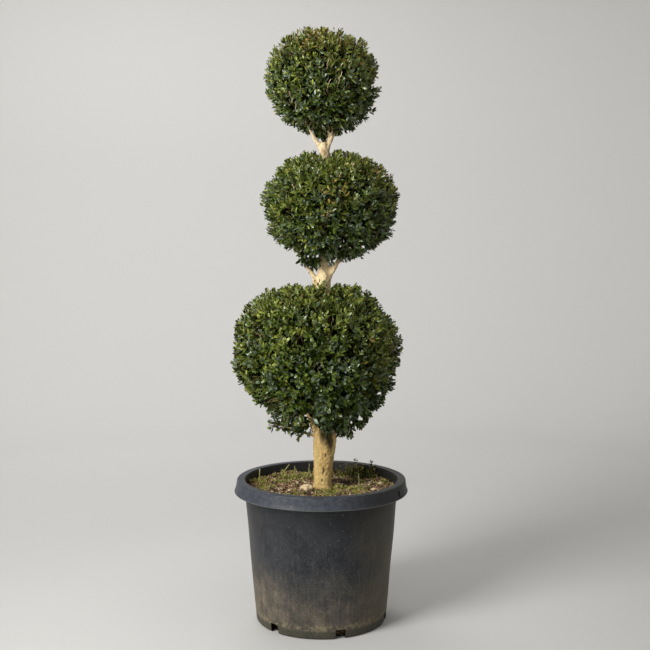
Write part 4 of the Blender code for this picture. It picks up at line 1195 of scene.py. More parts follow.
# pixels of the photo, with a radius, where the sky shows between leaves
skyGaps = {
    "foliage_low": (
        (379, 393, 2.2), (296.5, 414, 2.8), (306.5, 416, 2.6), (308.5, 420.5, 2.4), (311, 425, 2.0),
        (315.5, 431, 1.5), (332, 435, 2.4), (352, 423, 2.2), (341, 410, 2.0), (303, 398, 2.0),
        (308, 401, 2.0), (299, 397, 1.8), (316, 434, 2.0), (289, 421, 1.5), (360, 418, 2.0),
    ),
    "foliage_middle": (
        (302, 244, 1.6), (308, 257, 1.6), (317, 257, 1.6), (330, 253, 1.6), (340, 247, 1.8),
        (352, 246, 2.0), (344, 241, 1.7), (335.5, 262, 2.4), (364, 247, 2.0),
    ),
    "foliage_top": (
        (300, 114, 2.0), (339, 116, 2.0), (342, 117, 2.0), (377, 99, 1.8), (354, 115, 1.6),
    ),
}
# pixels, with a radius, where the leaves of the front open on the dark inside
hollows = {
    "foliage_low": (
        (332, 321, 4.6), (299, 338, 5.2), (257, 335, 4.2), (317, 368, 5.2), (256, 377, 4.2),
        (312, 402, 4.2), (333, 333, 3.8), (285, 366, 3.0), (369, 311, 3.4), (352, 347, 3.0),
        (343, 395, 3.2), (288, 398, 3.4),
    ),
    "foliage_middle": (
        (287, 212, 4.2), (324, 226, 4.0), (324, 233, 4.0), (376, 231, 4.2), (343, 236, 3.4),
        (297, 236, 3.4), (370, 205, 3.0),
    ),
    "foliage_top": ((291, 55, 3.4), (328, 92, 3.8), (348, 87, 3.8), (305, 98, 3.6), (322, 107, 3.0),
                    (338, 101, 3.0)),
}
frontLeaves = {
    "sight": (-0.3, 0.0, 301),  # first and last y on a line of sight, and how many
    "hollowDepth": 0.046, "clearTo": 0.004, "lightPath": 0.180, "twigDepths": (0.002, 0.006),
    "twigFoot": (0.0, 0.030, -0.006), "twigClearance": 1.6, "twigLeafDepth": 0.010,
    "twigRadii": (0.0006, 0.0012), "twigWobble": 0.0009, "twigSides": 6, "twigSpots": 7,
}
# pixels, with a radius, where nothing hangs in front of the boughs
clearings = {
    "foliage_low": ((308, 414, 2.6), (310, 418, 3.0), (312, 423, 3.4), (314, 428, 3.8), (316, 433, 4.2),
                    (319, 438, 4.4), (325, 441, 4.4), (331, 441, 3.4), (327, 286, 3.0), (328, 290, 2.4)),
    "foliage_middle": ((322, 258, 2.6), (323, 264, 3.4), (324, 270, 4.0), (337, 268, 2.4), (315, 273, 2.8),
                       (312, 270, 2.2)),
    "foliage_top": ((308, 121, 2.8), (309.5, 125, 3.0), (312.5, 131, 2.6), (316, 137, 2.6), (330, 129, 2.6),
                    (330, 134, 2.8), (329, 139, 2.6)),
}
# places on a bough that the light reaches through a gap in the leaves, with the gap's radius, and its length
sunlit = {
    "foliage_low": ((-0.020, -0.020, 0.486, 0.018), (-0.027, -0.023, 0.504, 0.020),
                    (-0.034, -0.026, 0.522, 0.020), (-0.010, -0.018, 0.470, 0.015)),
    "foliage_top": ((0.0185, -0.010, 1.240, 0.010), (0.0190, -0.010, 1.254, 0.010)),
}
# tufts that stand out of the clipped outline: azimuth, rise, spread in degrees and height
strays = {
    "foliage_low": ((-15, 62, 5, 0.012), (-8, 50, 5, 0.009), (175, -12, 5, 0.006), (0, 2, 6, 0.006)),
    "foliage_middle": ((180, 8, 5, 0.015), (2, 18, 5, 0.007), (-60, 70, 6, 0.006)),
    "foliage_top": ((0, -20, 5, 0.010), (180, -8, 6, 0.005)),
}
# extra shoots by the forks: pixel and half sizes of the patch that their tips fill, nearest and furthest y,
# how many, and the way they point
forkShoots = {
    "foliage_low": (
        ((289, 408, 10, 6), (-0.03, 0.05), 32, (-0.5, -0.2, -0.8)),
        ((297, 419, 6, 8), (0.00, 0.04), 24, (-0.4, -0.2, -0.9)),
        ((328, 421, 9, 8), (-0.072, -0.046), 18, (0.0, -0.5, -0.9)),
        ((340, 427, 5, 6), (-0.04, 0.02), 13, (0.3, -0.3, -0.9)),
        ((350, 417, 4, 5), (-0.04, 0.02), 7, (0.3, -0.2, -0.8)),
        ((286, 417, 6, 3), (-0.03, 0.01), 5, (-0.5, -0.1, -0.6)),
        ((321, 286, 4, 3), (-0.060, -0.030), 10, (-0.1, -0.4, 0.9)),
        ((337, 285, 3, 2), (-0.03, 0.02), 3, (0.3, -0.2, 0.9)),
        ((349, 287, 5, 2), (-0.03, 0.03), 6, (0.3, 0.0, 0.9)),
    ),
    "foliage_middle": (
        ((311, 263, 7, 7), (0.004, 0.034), 34, (-0.3, 0.2, -0.9)),
        ((306, 262, 5, 5), (-0.035, -0.010), 22, (-0.4, -0.3, -0.8)),
        ((318, 260, 2, 7), (-0.034, -0.014), 9, (-0.2, -0.4, -0.9)),
        ((345, 258, 7, 4), (-0.01, 0.02), 12, (0.5, 0.0, -0.8)),
        ((326, 251, 8, 4), (-0.05, -0.03), 12, (0.0, -0.6, -0.8)),
        ((356, 253, 6, 4), (-0.02, 0.02), 8, (0.5, 0.0, -0.9)),
        ((336, 255, 5, 3), (-0.01, 0.03), 14, (0.2, 0.0, -0.9)),
        ((331, 257, 2, 4), (-0.030, -0.014), 6, (0.2, -0.4, -0.9)),
    ),
    "foliage_top": (
        ((320, 130, 6, 7), (0.004, 0.026), 34, (0.0, 0.2, -1.0)),
        ((322, 131, 4, 6), (-0.014, 0.004), 24, (0.0, -0.3, -1.0)),
        ((323, 136, 3, 4), (-0.014, 0.002), 24, (0.0, -0.3, -1.0)),
        ((326, 136, 2, 4), (0.006, 0.020), 14, (0.0, 0.2, -1.0)),
        ((309, 130, 3, 4), (0.008, 0.024), 12, (-0.3, 0.1, -0.9)),
        ((305, 126, 5, 5), (-0.01, 0.02), 10, (-0.5, 0.0, -0.9)),
        ((337, 130, 4, 5), (-0.030, -0.008), 14, (0.3, -0.2, -0.9)),
        ((338, 129, 5, 5), (-0.01, 0.02), 10, (0.5, 0.0, -0.9)),
        ((320, 121, 6, 4), (-0.04, -0.02), 8, (0.0, -0.5, -0.9)),
        ((350, 126, 6, 4), (-0.02, 0.02), 6, (0.5, 0.0, -0.9)),
    ),
}
# bare twigs in front of the leaves: pixels of the upper and the lower end
bareTwigs = {
    "foliage_low": (),
    "foliage_middle": ((328, 210, 327, 217), (292, 184, 295, 190)),
    "foliage_top": ((342, 71, 337, 85), (329, 58, 327, 66), (331, 79, 327, 87), (289, 91, 292, 99),
                    (295, 102, 296, 108)),
}


viewTilt = math.radians(camera["tilt"])
viewFocal = camera["lens"] / camera["sensor"] * camera["frame"]  # pixels
viewMiddle = camera["frame"] / 2


def fromPicture(across, down, y):
    # The points at depths y that the photo shows at pixels
    x, z = np.broadcast_arrays((across - viewMiddle) / viewFocal, (viewMiddle - down) / viewFocal)
    cosine, sine = math.cos(viewTilt), math.sin(viewTilt)
    way = np.stack([x, cosine + z * sine, -sine + z * cosine], -1)
    return np.array(camera["place"]) + way * ((y - camera["place"][1]) / way[..., 1])[..., None]


def toPicture(points):
    # Pixel of each point in the photo's frame, by the camera's place, tilt and focal length
    gap = points - np.array(camera["place"])
    cosine, sine = math.cos(viewTilt), math.sin(viewTilt)
    depth = gap[..., 1] * cosine - gap[..., 2] * sine
    rise = gap[..., 1] * sine + gap[..., 2] * cosine
    return viewMiddle + viewFocal * gap[..., 0] / depth, viewMiddle - viewFocal * rise / depth


def forkTips(name, rng):
    # Tips spread evenly over each patch, and their leanings with a scatter
    tips, leans = [], []
    for (across, down, halfWide, halfHigh), depths, count, lean in forkShoots[name]:
        x, y = across + halfWide * rng.uniform(-1, 1, count), down + halfHigh * rng.uniform(-1, 1, count)
        tips.append(fromPicture(x, y, rng.uniform(*depths, count)))
        leans.append(unit(np.array(lean) + rng.normal(size=(count, 3)) * growth["forkScatter"]))
    return np.concatenate(tips), np.concatenate(leans)


def frontPoint(ball, across, down, depth):
    # The first point on the line of sight through a pixel that lies this deep in the ball
    line = np.array([fromPicture(across, down, y) for y in np.linspace(*frontLeaves["sight"])])
    inside = insideShare(ball, line) < 1 - depth / ball["halfWidth"]
    return line[inside.argmax()]


def nearPixels(points, spots):
    across, down = toPicture(points)
    near = np.zeros(across.shape, bool)
    for x, y, radius in spots:
        near |= np.hypot(across - x, down - y) < radius
    return near


def inLight(points, spot, radius):
    # Near the line from a spot to the key light, as far as the light reaches in
    way = np.array(studio["key"]["place"]) - spot
    way /= np.linalg.norm(way)
    along = (points - spot) @ way
    away = np.linalg.norm(points - spot - along[..., None] * way, axis=-1)
    return (along > 0) & (along < frontLeaves["lightPath"]) & (away < radius)


def heading(azimuth, rise):
    # The direction at an azimuth and a rise in degrees
    turn, slope = math.radians(azimuth), math.radians(rise)
    return np.array([math.cos(turn) * math.cos(slope), math.sin(turn) * math.cos(slope), math.sin(slope)])


def bells(directions, places):
    # Sum of bells over the ball: each one its height times e to the minus square of angle over spread
    total = np.zeros(directions.shape[:-1])
    for azimuth, rise, spread, height in places:
        angle = np.degrees(np.arccos(np.clip(directions @ heading(azimuth, rise), -1, 1)))
        total += height * np.exp(-(angle / spread) ** 2)
    return total


def lump(directions):
    # Slow waves over the ball, as hand clipping leaves them
    x, y, z = np.moveaxis(directions, -1, 0)
    sines = np.sin(3.3 * x + 2.1 * z + 0.7) + np.sin(4.1 * y - 2.6 * x + 1.9) + np.sin(5.2 * z + 3.7 * y)
    return growth["lump"] * sines


def reach(ball, directions):
    # From the ball's centre to its clipped outline: a rounded oval, squarer above its widest level
    rising = directions[..., 2] > 0
    across = np.hypot(directions[..., 0], directions[..., 1]) / ball["halfWidth"]
    along = np.abs(directions[..., 2]) / np.where(rising, ball["up"], ball["down"])
    power = np.where(rising, ball["roundUp"], ball["roundDown"])
    oval = (1 + lump(directions)) / (across**power + along**power) ** (1 / power)
    return oval + bells(directions, ball["swells"])


def ballAxis(ball, heights):
    # The middle line, which leans with the square of the drop below the widest level
    sink = np.maximum(0, (ball["z"] - heights) / ball["down"])
    x = ball["x"] + ball["footShift"] * sink**2
    return np.stack([x, np.zeros_like(x), np.full_like(x, ball["z"])], -1)


def ballPoints(ball, directions, depths):
    # Points this deep below the clipped outline
    local = directions * (reach(ball, directions) - depths)[..., None]
    return ballAxis(ball, ball["z"] + local[..., 2]) + local


def insideShare(ball, points):
    # How far out a point is: 0 on the ball's middle line and 1 on its outline
    local = points - ballAxis(ball, points[..., 2])
    return np.linalg.norm(local, axis=-1) / reach(ball, unit(local))


def spiral(count, firstTurn, scatter, rng):
    # Even directions on a golden-angle spiral, scattered by a share of their spacing
    height = 1 - 2 * (np.arange(count) + 0.5) / count
    turn = firstTurn + np.arange(count) * growth["goldenTurn"]
    level = np.sqrt(1 - height**2)
    directions = np.stack([level * np.cos(turn), level * np.sin(turn), height], -1)
    return unit(directions + rng.normal(size=directions.shape) * (scatter * 2 / math.sqrt(count)))


def tuftsOf(directions, centres):
    # The nearest centre of each direction, how far it is and how much nearer than the next one, in spacings
    angles = np.arccos(np.clip(directions @ centres.T, -1, 1)) / math.sqrt(4 * math.pi / len(centres))
    order = np.argpartition(angles, 1, axis=1)[:, :2]
    first, second = np.take_along_axis(angles, order, 1).T
    swap = first > second
    nearest = np.where(swap, order[:, 1], order[:, 0])
    return nearest, np.minimum(first, second), np.abs(second - first)


def limbGap(points, names):
    # Least distance from each point to the skin of the named limbs
    gap = np.full(points.shape[:-1], 1.0)
    for name in names:
        path = limbs[name]
        for start, end in zip(path[:-1:2], path[2::2]):
            span = end[:3] - start[:3]
            t = np.clip((points - start[:3]) @ span / (span @ span), 0, 1)
            away = np.linalg.norm(points - start[:3] - t[..., None] * span, axis=-1)
            gap = np.minimum(gap, away - (start[3] + (end[3] - start[3]) * t))
    return gap


def curveAt(start, middle, end, t):
    # Start, middle and end weighted by (1-t) squared, 2t(1-t) and t squared
    t = np.asarray(t)[..., None]
    return (1 - t) ** 2 * start + 2 * t * (1 - t) * middle + t**2 * end


def curveLines(feet, middles, tips, count):
    # Each curve as a line of points at even t
    return curveAt(feet[:, None], middles[:, None], tips[:, None], np.linspace(0, 1, count)[None])


def wobble(lines, size, rng):
    lines[:, 1:-1] += rng.normal(size=lines[:, 1:-1].shape) * size


def nearestSpots(tips, spots, downCost=1.2):
    # The spot with the shortest way to each tip, where a way down counts for more
    chosen = np.empty(len(tips), int)
    for part in np.array_split(np.arange(len(tips)), max(1, len(tips) // growth["batch"])):
        gap = tips[part][:, None] - spots[None]
        chosen[part] = (np.linalg.norm(gap, axis=-1) + downCost * np.maximum(0, -gap[..., 2])).argmin(1)
    return chosen


def growLevel(tips, headings, spots, stiffness):
    # Curves from the nearest spots that arrive at their tips along the headings
    feet = spots[nearestSpots(tips, spots)]
    length = np.linalg.norm(tips - feet, axis=-1, keepdims=True)
    return feet, tips - headings * length * stiffness, tips


def leafShapes(roots, headings, facings, lengths, widths):
    # Faces from each side of the outline to its raised last point. The outline is laid along the heading,
    # across it and up by the lift.
    across = unit(np.cross(facings, headings))
    above = np.cross(headings, across)
    points = (
        roots[:, None]
        + leafOutline["along"][:, None] * (headings * lengths[:, None])[:, None]
        + leafOutline["across"][:, None] * (across * widths[:, None] / 2)[:, None]
        + leafOutline["lift"][:, None] * (above * lengths[:, None])[:, None]
    )
    sides = len(leafOutline["along"]) - 1
    ring = np.arange(sides)
    fan = np.stack([np.full(sides, sides), ring, (ring + 1) % sides], -1)
    shift = (np.arange(len(roots)) * (sides + 1))[:, None, None]
    return points.reshape(-1, 3), [(fan + shift).reshape(-1, 3)]


def leavesOn(feet, middles, tips, rng):
    # Crossed pairs of leaves down each shoot from its tip, further apart and wider spread towards the root
    count, pairs = len(feet), len(leaf["pairDepths"])
    length = np.linalg.norm(tips - feet, axis=-1)
    depths = np.array(leaf["pairDepths"]) * rng.uniform(*leaf["depthScale"], (count, 1))
    depths = depths + rng.normal(size=(count, pairs)) * leaf["depthScatter"]
    t = 1 - depths / np.maximum(length, leaf["shortest"])[:, None]
    spots = curveAt(feet[:, None], middles[:, None], tips[:, None], t)
    stems = unit((1 - t)[..., None] * (middles - feet)[:, None] + t[..., None] * (tips - middles)[:, None])
    guide = unit(np.cross(stems, unit(rng.normal(size=(count, 1, 3)))))
    binormal = np.cross(stems, guide)
    turn = rng.uniform(0, math.tau, (count, 1)) + np.arange(pairs) * math.pi / 2
    turn = turn + rng.normal(size=(count, pairs)) * leaf["turnScatter"]
    side = np.cos(turn)[..., None] * guide + np.sin(turn)[..., None] * binormal
    shape = (count, pairs, 2)
    spread = np.radians(np.array(leaf["spreads"])[:, None] + rng.normal(size=shape) * leaf["spreadScatter"])
    stem = stems[:, :, None]
    out = side[:, :, None] * np.array([[1.0], [-1.0]])
    headings = unit(stem * np.cos(spread)[..., None] + out * np.sin(spread)[..., None])
    facings = stem - headings * (stem * headings).sum(-1, keepdims=True)
    facings = unit(facings + [0, 0, leaf["faceUp"]] + rng.normal(size=(*shape, 3)) * leaf["faceScatter"])
    facings = unit(facings - headings * (facings * headings).sum(-1, keepdims=True))
    size = np.array(leaf["pairSizes"])[:, None] * rng.uniform(*leaf["sizes"], shape)
    missing = rng.uniform(size=shape) < np.linspace(0.0, leaf["missing"], pairs)[:, None]
    return {
        "roots": np.repeat(spots[:, :, None], 2, 2), "headings": headings, "facings": facings, "size": size,
        "wanted": np.repeat((t > leaf["bareFoot"])[..., None], 2, 2) & ~missing,
    }


def tintEdges(name, directions):
    # Running sums of the tints' weights for each direction, over their total
    golden = (name == "foliage_top") * smoothStep(directions[:, 2], *crown["heights"])
    patch = waves(directions, crown["patchSize"], growth["seed"] + 5)
    # more of the fresh tint at the left: painted light on the lit side
    left = balls[name]["leftFresh"] * smoothStep(-directions[:, 0], *crown["leftFrom"])
    place = bells(directions, tintPlaces[name])
    weights = []
    for tint, (base, byHeight, byPatch, byGolden, byPlace, least) in tintWeights.items():
        weight = base + byHeight * directions[:, 2] + byPatch * patch + byGolden * golden + byPlace * place
        weight = np.maximum(weight + left * (tint == "fresh"), least)
        weights.append(weight * (balls[name]["deepShare"] if tint == "deep" else 1))
    weights = np.stack(weights, -1)
    return np.cumsum(weights / weights.sum(-1, keepdims=True), -1)


def tintLeaves(name, directions, shape, rng):
    # A tint number for each leaf: mostly its shoot's, which goes by height, patches, the given places and
    # painted light at the left; older leaves down the shoot lose the pale tints and darken, deep in the ball
    # partly as painted shade
    edges = tintEdges(name, directions)
    last = len(tintNames) - 1
    tint = (rng.uniform(size=len(directions))[:, None] > edges).sum(-1).clip(0, last)
    own = (rng.uniform(size=(*shape, 1)) > edges[:, None, None]).sum(-1).clip(0, last)
    tint = np.where(rng.uniform(size=shape) < leaf["ownTint"], own, tint[:, None, None])
    pair = np.broadcast_to(np.arange(shape[1])[None, :, None], shape)
    chance = rng.uniform(size=shape)
    for first, odds, old, new in ageing:
        changed = (pair >= first) & (chance < odds)
        if old != "any":
            changed &= tint == tintNames.index(old)
        tint[changed] = tintNames.index(new)
    return tint


def dealTints(names, shape, rng):
    return rng.choice([tintNames.index(name) for name in names], shape)


def leafMaterial(name, tone, other, wax):
    # Waxy upper side in two tones, and a paler, duller underside
    waxy = wax > leaf["waxyFrom"]
    material, tree, shader = newMaterial(name, 0.5, leaf["specular"][waxy])
    shader.inputs["Coat Weight"].default_value = wax
    shader.inputs["Coat Roughness"].default_value = leaf["coatRoughness"]
    upper = twoTones(tree, (tone, other), 95.0, 1.1)
    under = cover(tree, upper, leaf["underShares"][waxy], leaf["underside"])
    backfacing = addNode(tree, "ShaderNodeNewGeometry", {}).outputs["Backfacing"]
    tree.links.new(mixColours(tree, backfacing, upper, under), shader.inputs["Base Color"])
    tree.links.new(ramp(tree, backfacing, 0.0, 1.0, *leaf["roughness"]), shader.inputs["Roughness"])
    return material


twigMaterial = plainMaterial("twigBark", ((0.40, 0.28, 0.140), (0.23, 0.155, 0.075)), 70.0, 0.8)
shootMaterial = plainMaterial("shootBark", ((0.200, 0.190, 0.055), (0.30, 0.22, 0.095)), 60.0)
paleTwigMaterial = plainMaterial("paleTwig", ((0.66, 0.50, 0.30), (0.48, 0.35, 0.19)), 60.0, 0.75)
leafMaterials = {name: leafMaterial("leaf_" + name, *values) for name, values in leafTints.items()}


def makeTubes(name, lines, radii, sides, material, nodes):
    finishPiece(makeObject(name, *tubes(lines, radii, sides), material), nodes)


def makeLeaves(pieceName, leaves, tint, nodes, scale=1.0, slim=1.0):
    # One piece for each tint
    total = 0
    for number, tintName in enumerate(tintNames):
        chosen = leaves["wanted"] & (tint == number)
        if not chosen.any():
            continue
        roots, headings, facings = (leaves[key][chosen] for key in ("roots", "headings", "facings"))
        sizes = (leaves["size"] * scale)[chosen]
        lengths, widths = sizes * leaf["length"], sizes * leaf["width"] * slim
        points, faces = leafShapes(roots, headings, facings, lengths, widths)
        obj = makeObject(f"{pieceName}_{tintName}", points, faces, leafMaterials[tintName])
        finishPiece(obj, nodes)
        total += len(sizes)
    return total


def tipDepths(name, ball, directions, centres, rng):
    # How deep each shoot's tip lies: tufts of uneven height, domed and parted by gaps, a hollow collar
    # round the trunk above, and the given strays; and which shoots stay
    world = directions * ball["halfWidth"]
    tuft, away, border = tuftsOf(directions, centres)
    parting = 1 - smoothStep(border, 0.0, tufts["gapWidth"])
    limit = tufts["heightLimit"]
    depth = ball["tips"] - tufts["height"] * rng.normal(size=len(centres)).clip(-limit, limit)[tuft]
    depth += tufts["dome"] * (away / tufts["domeSize"]) ** 2 + tufts["gap"] * parting
    depth += tufts["scatter"] * rng.normal(size=len(depth))
    for deep, size, seed, start, full in tufts["dents"]:
        depth += deep * smoothStep(waves(world, size, seed), start, full)
    depth -= bells(directions, strays[name])
    collarDepth, collarWidth = ball["collar"]
    spots = ballPoints(ball, directions, depth)
    top = directions[:, 2] > tufts["collarFrom"]
    trunkX = np.interp(spots[:, 2], limbs["trunk"][:, 2], limbs["trunk"][:, 0])
    depth += top * collarDepth * np.exp(-(np.hypot(spots[:, 0] - trunkX, spots[:, 1]) / collarWidth) ** 2)
    thinning = tufts["gapThinning"] * parting
    thinning += tufts["footThinning"] * smoothStep(-directions[:, 2], *tufts["footFrom"])
    return depth, rng.uniform(size=len(depth)) > thinning, centres[tuft]


def growStage(ball, kind, directions, depths, spots, rng):
    # Curves from the spots to points in the ball, and the lines along them
    stage = growth[kind]
    headings = unit(directions + [0, 0, stage["rise"]])
    curves = growLevel(ballPoints(ball, directions, depths), headings, spots, stage["stiffness"])
    lines = curveLines(*curves, growth["points"])
    wobble(lines, stage["wobble"], rng)
    return curves, lines


def growTwigs(ball, spots, rng):
    # Branches from the limbs and twigs from the branches
    branch, twig = growth["branch"], growth["twig"]
    out = spiral(ball["branches"], branch["turn"], branch["scatter"], rng)
    branches = growStage(ball, "branch", out, np.full(len(out), ball["branchDepth"]), spots, rng)[1]
    out = spiral(ball["twigs"], twig["turn"], twig["scatter"], rng)
    depths = ball["twigDepth"] * rng.uniform(*growth["twigDepths"], len(out))
    curves, twigs = growStage(ball, "twig", out, depths, branches[:, 3:].reshape(-1, 3), rng)
    return branches, twigs, curves, out


def growShoots(name, ball, twigs, twigOut, rng):
    # Feet, middles, tips and directions of the shoots on the twigs and of those by the forks, and which
    # are the latter. A shoot leans out of its tuft and up.
    shoot = growth["shoot"]
    out = spiral(ball["shoots"], shoot["turn"], shoot["scatter"], rng)
    depth, keep, centre = tipDepths(name, ball, out, twigOut, rng)
    out, depth, centre = out[keep], depth[keep], centre[keep]
    rise = np.interp(out[:, 2], growth["riseFrom"], growth["rises"])
    rise += ball["upright"] * smoothStep(out[:, 2], *growth["uprightFrom"])
    lean = out + (out - centre) * growth["fan"] + rng.normal(size=out.shape) * shoot["lean"]
    lean = unit(lean + rise[:, None] * [0, 0, 1])
    spots = twigs[:, 2:].reshape(-1, 3)
    feet, middles, tips = growLevel(ballPoints(ball, out, depth), lean, spots, shoot["stiffness"])
    extraTips, extraLean = forkTips(name, rng)
    extraFeet, extraMiddles = (extraTips - extraLean * growth[key] for key in ("forkFeet", "forkMiddle"))
    pairs = ((feet, extraFeet), (middles, extraMiddles), (tips, extraTips), (out, extraLean))
    extra = np.arange(len(feet) + len(extraTips)) >= len(feet)
    return *(np.concatenate(pair) for pair in pairs), extra


def clearLeaves(name, ball, leaves, free, carriers, rng):
    # Takes away the leaves that stand out too far, touch a limb, fill a sky gap, cover a hollow, a fork or a
    # bare twig, or shade a sunlit bough
    wanted = leaves["wanted"]
    ends = leaves["roots"] + leaves["headings"] * (leaves["size"] * leaf["length"])[..., None]
    middle = (leaves["roots"] + ends) / 2
    share = insideShare(ball, ends)
    wanted &= (share < growth["overshoot"] + growth["overshootScatter"] * rng.normal(size=share.shape)) | free
    wanted &= limbGap(middle, carriers) > growth["limbClearance"]
    wanted &= limbGap(ends, carriers) > growth["tipClearance"]
    wanted &= ~nearPixels(middle, skyGaps[name]) & ~nearPixels(ends, skyGaps[name])
    front = (middle[..., 1] < 0) & (share > 1 - frontLeaves["hollowDepth"] / ball["halfWidth"])
    wanted &= ~(front & nearPixels(middle, hollows[name]))
    inTheWay = nearPixels(middle, clearings[name]) | nearPixels(ends, clearings[name])
    wanted &= ~((middle[..., 1] < frontLeaves["clearTo"]) & inTheWay)
    for *spot, radius in sunlit.get(name, ()):
        wanted &= ~inLight(middle, np.array(spot), radius)
    shallow = front & (share > 1 - frontLeaves["twigLeafDepth"] / ball["halfWidth"])
    count = frontLeaves["twigSpots"]
    for twig in bareTwigs[name]:
        spots = [(*spot, frontLeaves["twigClearance"]) for spot in np.linspace(twig[:2], twig[2:], count)]
        wanted &= ~(shallow & nearPixels(middle, spots))


def makeTwigs(name, ball, short, branches, twigs, rng):
    # Branches and twigs in one piece, and the bare twigs in front in another
    radii = {}
    for kind in ("branch", "twig"):
        thick, thin = growth[kind]["radii"]
        radii[kind] = thick + (thin - thick) * np.linspace(0, 1, growth["points"]) ** growth["taper"]
    woody = joinShapes([tubes(branches, radii["branch"], growth["branch"]["sides"]),
                        tubes(twigs, radii["twig"], growth["twig"]["sides"])])
    finishPiece(makeObject(f"twigs_{short}", *woody, twigMaterial), [name])
    lines, depths = [], frontLeaves["twigDepths"]
    for twig in bareTwigs[name]:
        upper, lower = frontPoint(ball, *twig[:2], depths[0]), frontPoint(ball, *twig[2:], depths[1])
        foot = lower + frontLeaves["twigFoot"]
        lines.append(curveAt(upper, lower, foot, np.linspace(0, 1, growth["points"])))
    if lines:
        lines = np.array(lines)
        wobble(lines, frontLeaves["twigWobble"], rng)
        radii = np.linspace(*frontLeaves["twigRadii"], growth["points"])
        sides = frontLeaves["twigSides"]
        makeTubes(f"baretwigs_{short}", lines, radii, sides, paleTwigMaterial, [name])


def growBall(name, ball):
    short = name.split("_")[1]
    rng = np.random.default_rng([growth["seed"], ball["shoots"]])
    boughNames = [limb for limb in limbs if limb.startswith(ball["limbs"])]
    carriers = ["trunk"] + boughNames
    axis = limbs["trunk"][:, :3]
    downShare, upShare = growth["trunkShares"]
    low, high = ball["z"] - ball["down"] * downShare, ball["z"] + ball["up"] * upShare
    spots = np.concatenate([limbs[limb][len(limbs[limb]) // 2:, :3] for limb in boughNames]
                           + [axis[(axis[:, 2] > low) & (axis[:, 2] < high)]])
    branches, twigs, twigCurves, twigOut = growTwigs(ball, spots, rng)
    feet, middles, tips, out, extra = growShoots(name, ball, twigs, twigOut, rng)
    shoots = curveLines(feet, middles, tips, growth["shootPoints"])
    clear = limbGap(shoots[:, 2:], carriers).min(-1) > growth["limbClearance"]
    clear &= ~nearPixels(shoots[:, 2:], skyGaps[name]).any(-1)
    grown = (feet, middles, tips, out, extra, shoots)
    feet, middles, tips, out, extra, shoots = (part[clear] for part in grown)
    free = (bells(out, strays[name]) > growth["strayFrom"]) | extra

    leaves = leavesOn(feet, middles, tips, rng)
    lower = ball["lowerSize"] * np.clip(-out[:, 2], 0, 1)
    leaves["size"] *= ball["leafSize"] * (1 + lower)[:, None, None]
    tint = tintLeaves(name, out, leaves["wanted"].shape, rng)
    hanging = extra & (out[:, 2] < 0)
    tint[hanging] = dealTints(hangingTints, (int(hanging.sum()), *tint.shape[1:]), rng)
    # big leaves on the twigs inside, in the near-black inner tint as painted shade
    inner = leavesOn(*twigCurves, rng)
    inner["size"] *= leaf["innerSize"]
    leaves = {key: np.concatenate([leaves[key], inner[key]]) for key in leaves}
    tint = np.concatenate([tint, np.full(inner["wanted"].shape, tintNames.index("inner"))])
    free = np.concatenate([free, np.zeros(len(twigOut), bool)])[:, None, None]
    clearLeaves(name, ball, leaves, free, carriers, rng)
    count = makeLeaves("leaves_" + short, leaves, tint, [name], slim=ball["slim"])
    makeTwigs(name, ball, short, branches, twigs, rng)
    radii = np.linspace(*growth["shoot"]["radii"], growth["shootPoints"])
    makeTubes(f"shoots_{short}", shoots, radii, growth["shoot"]["sides"], shootMaterial, [name])
    print(f"{name}: {len(shoots)} shoots, {count} leaves")


for ballName, ballSizes in balls.items():
    growBall(ballName, ballSizes)

# The loose spray at the foot of the low ball, on from its thin bough

spray = {
    "seed": 7, "bough": "bough_low_side", "lean": (0.0, -0.10, -0.06), "length": 0.040, "overlap": 0.004,
    "from": 0.45, "points": 10, "radii": (0.0024, 0.0012), "sides": 8, "shoots": 19,
    "shootLength": (0.015, 0.025), "lastLength": 0.6, "shootPoints": 6, "shootRadii": (0.0011, 0.0006),
    "shootSides": 5, "turn": 2.2, "firstTurn": 0.6, "forward": (0.5, 1.6), "bend": 0.6, "leafSize": 1.15,
    "trunkGap": 0.012,
}


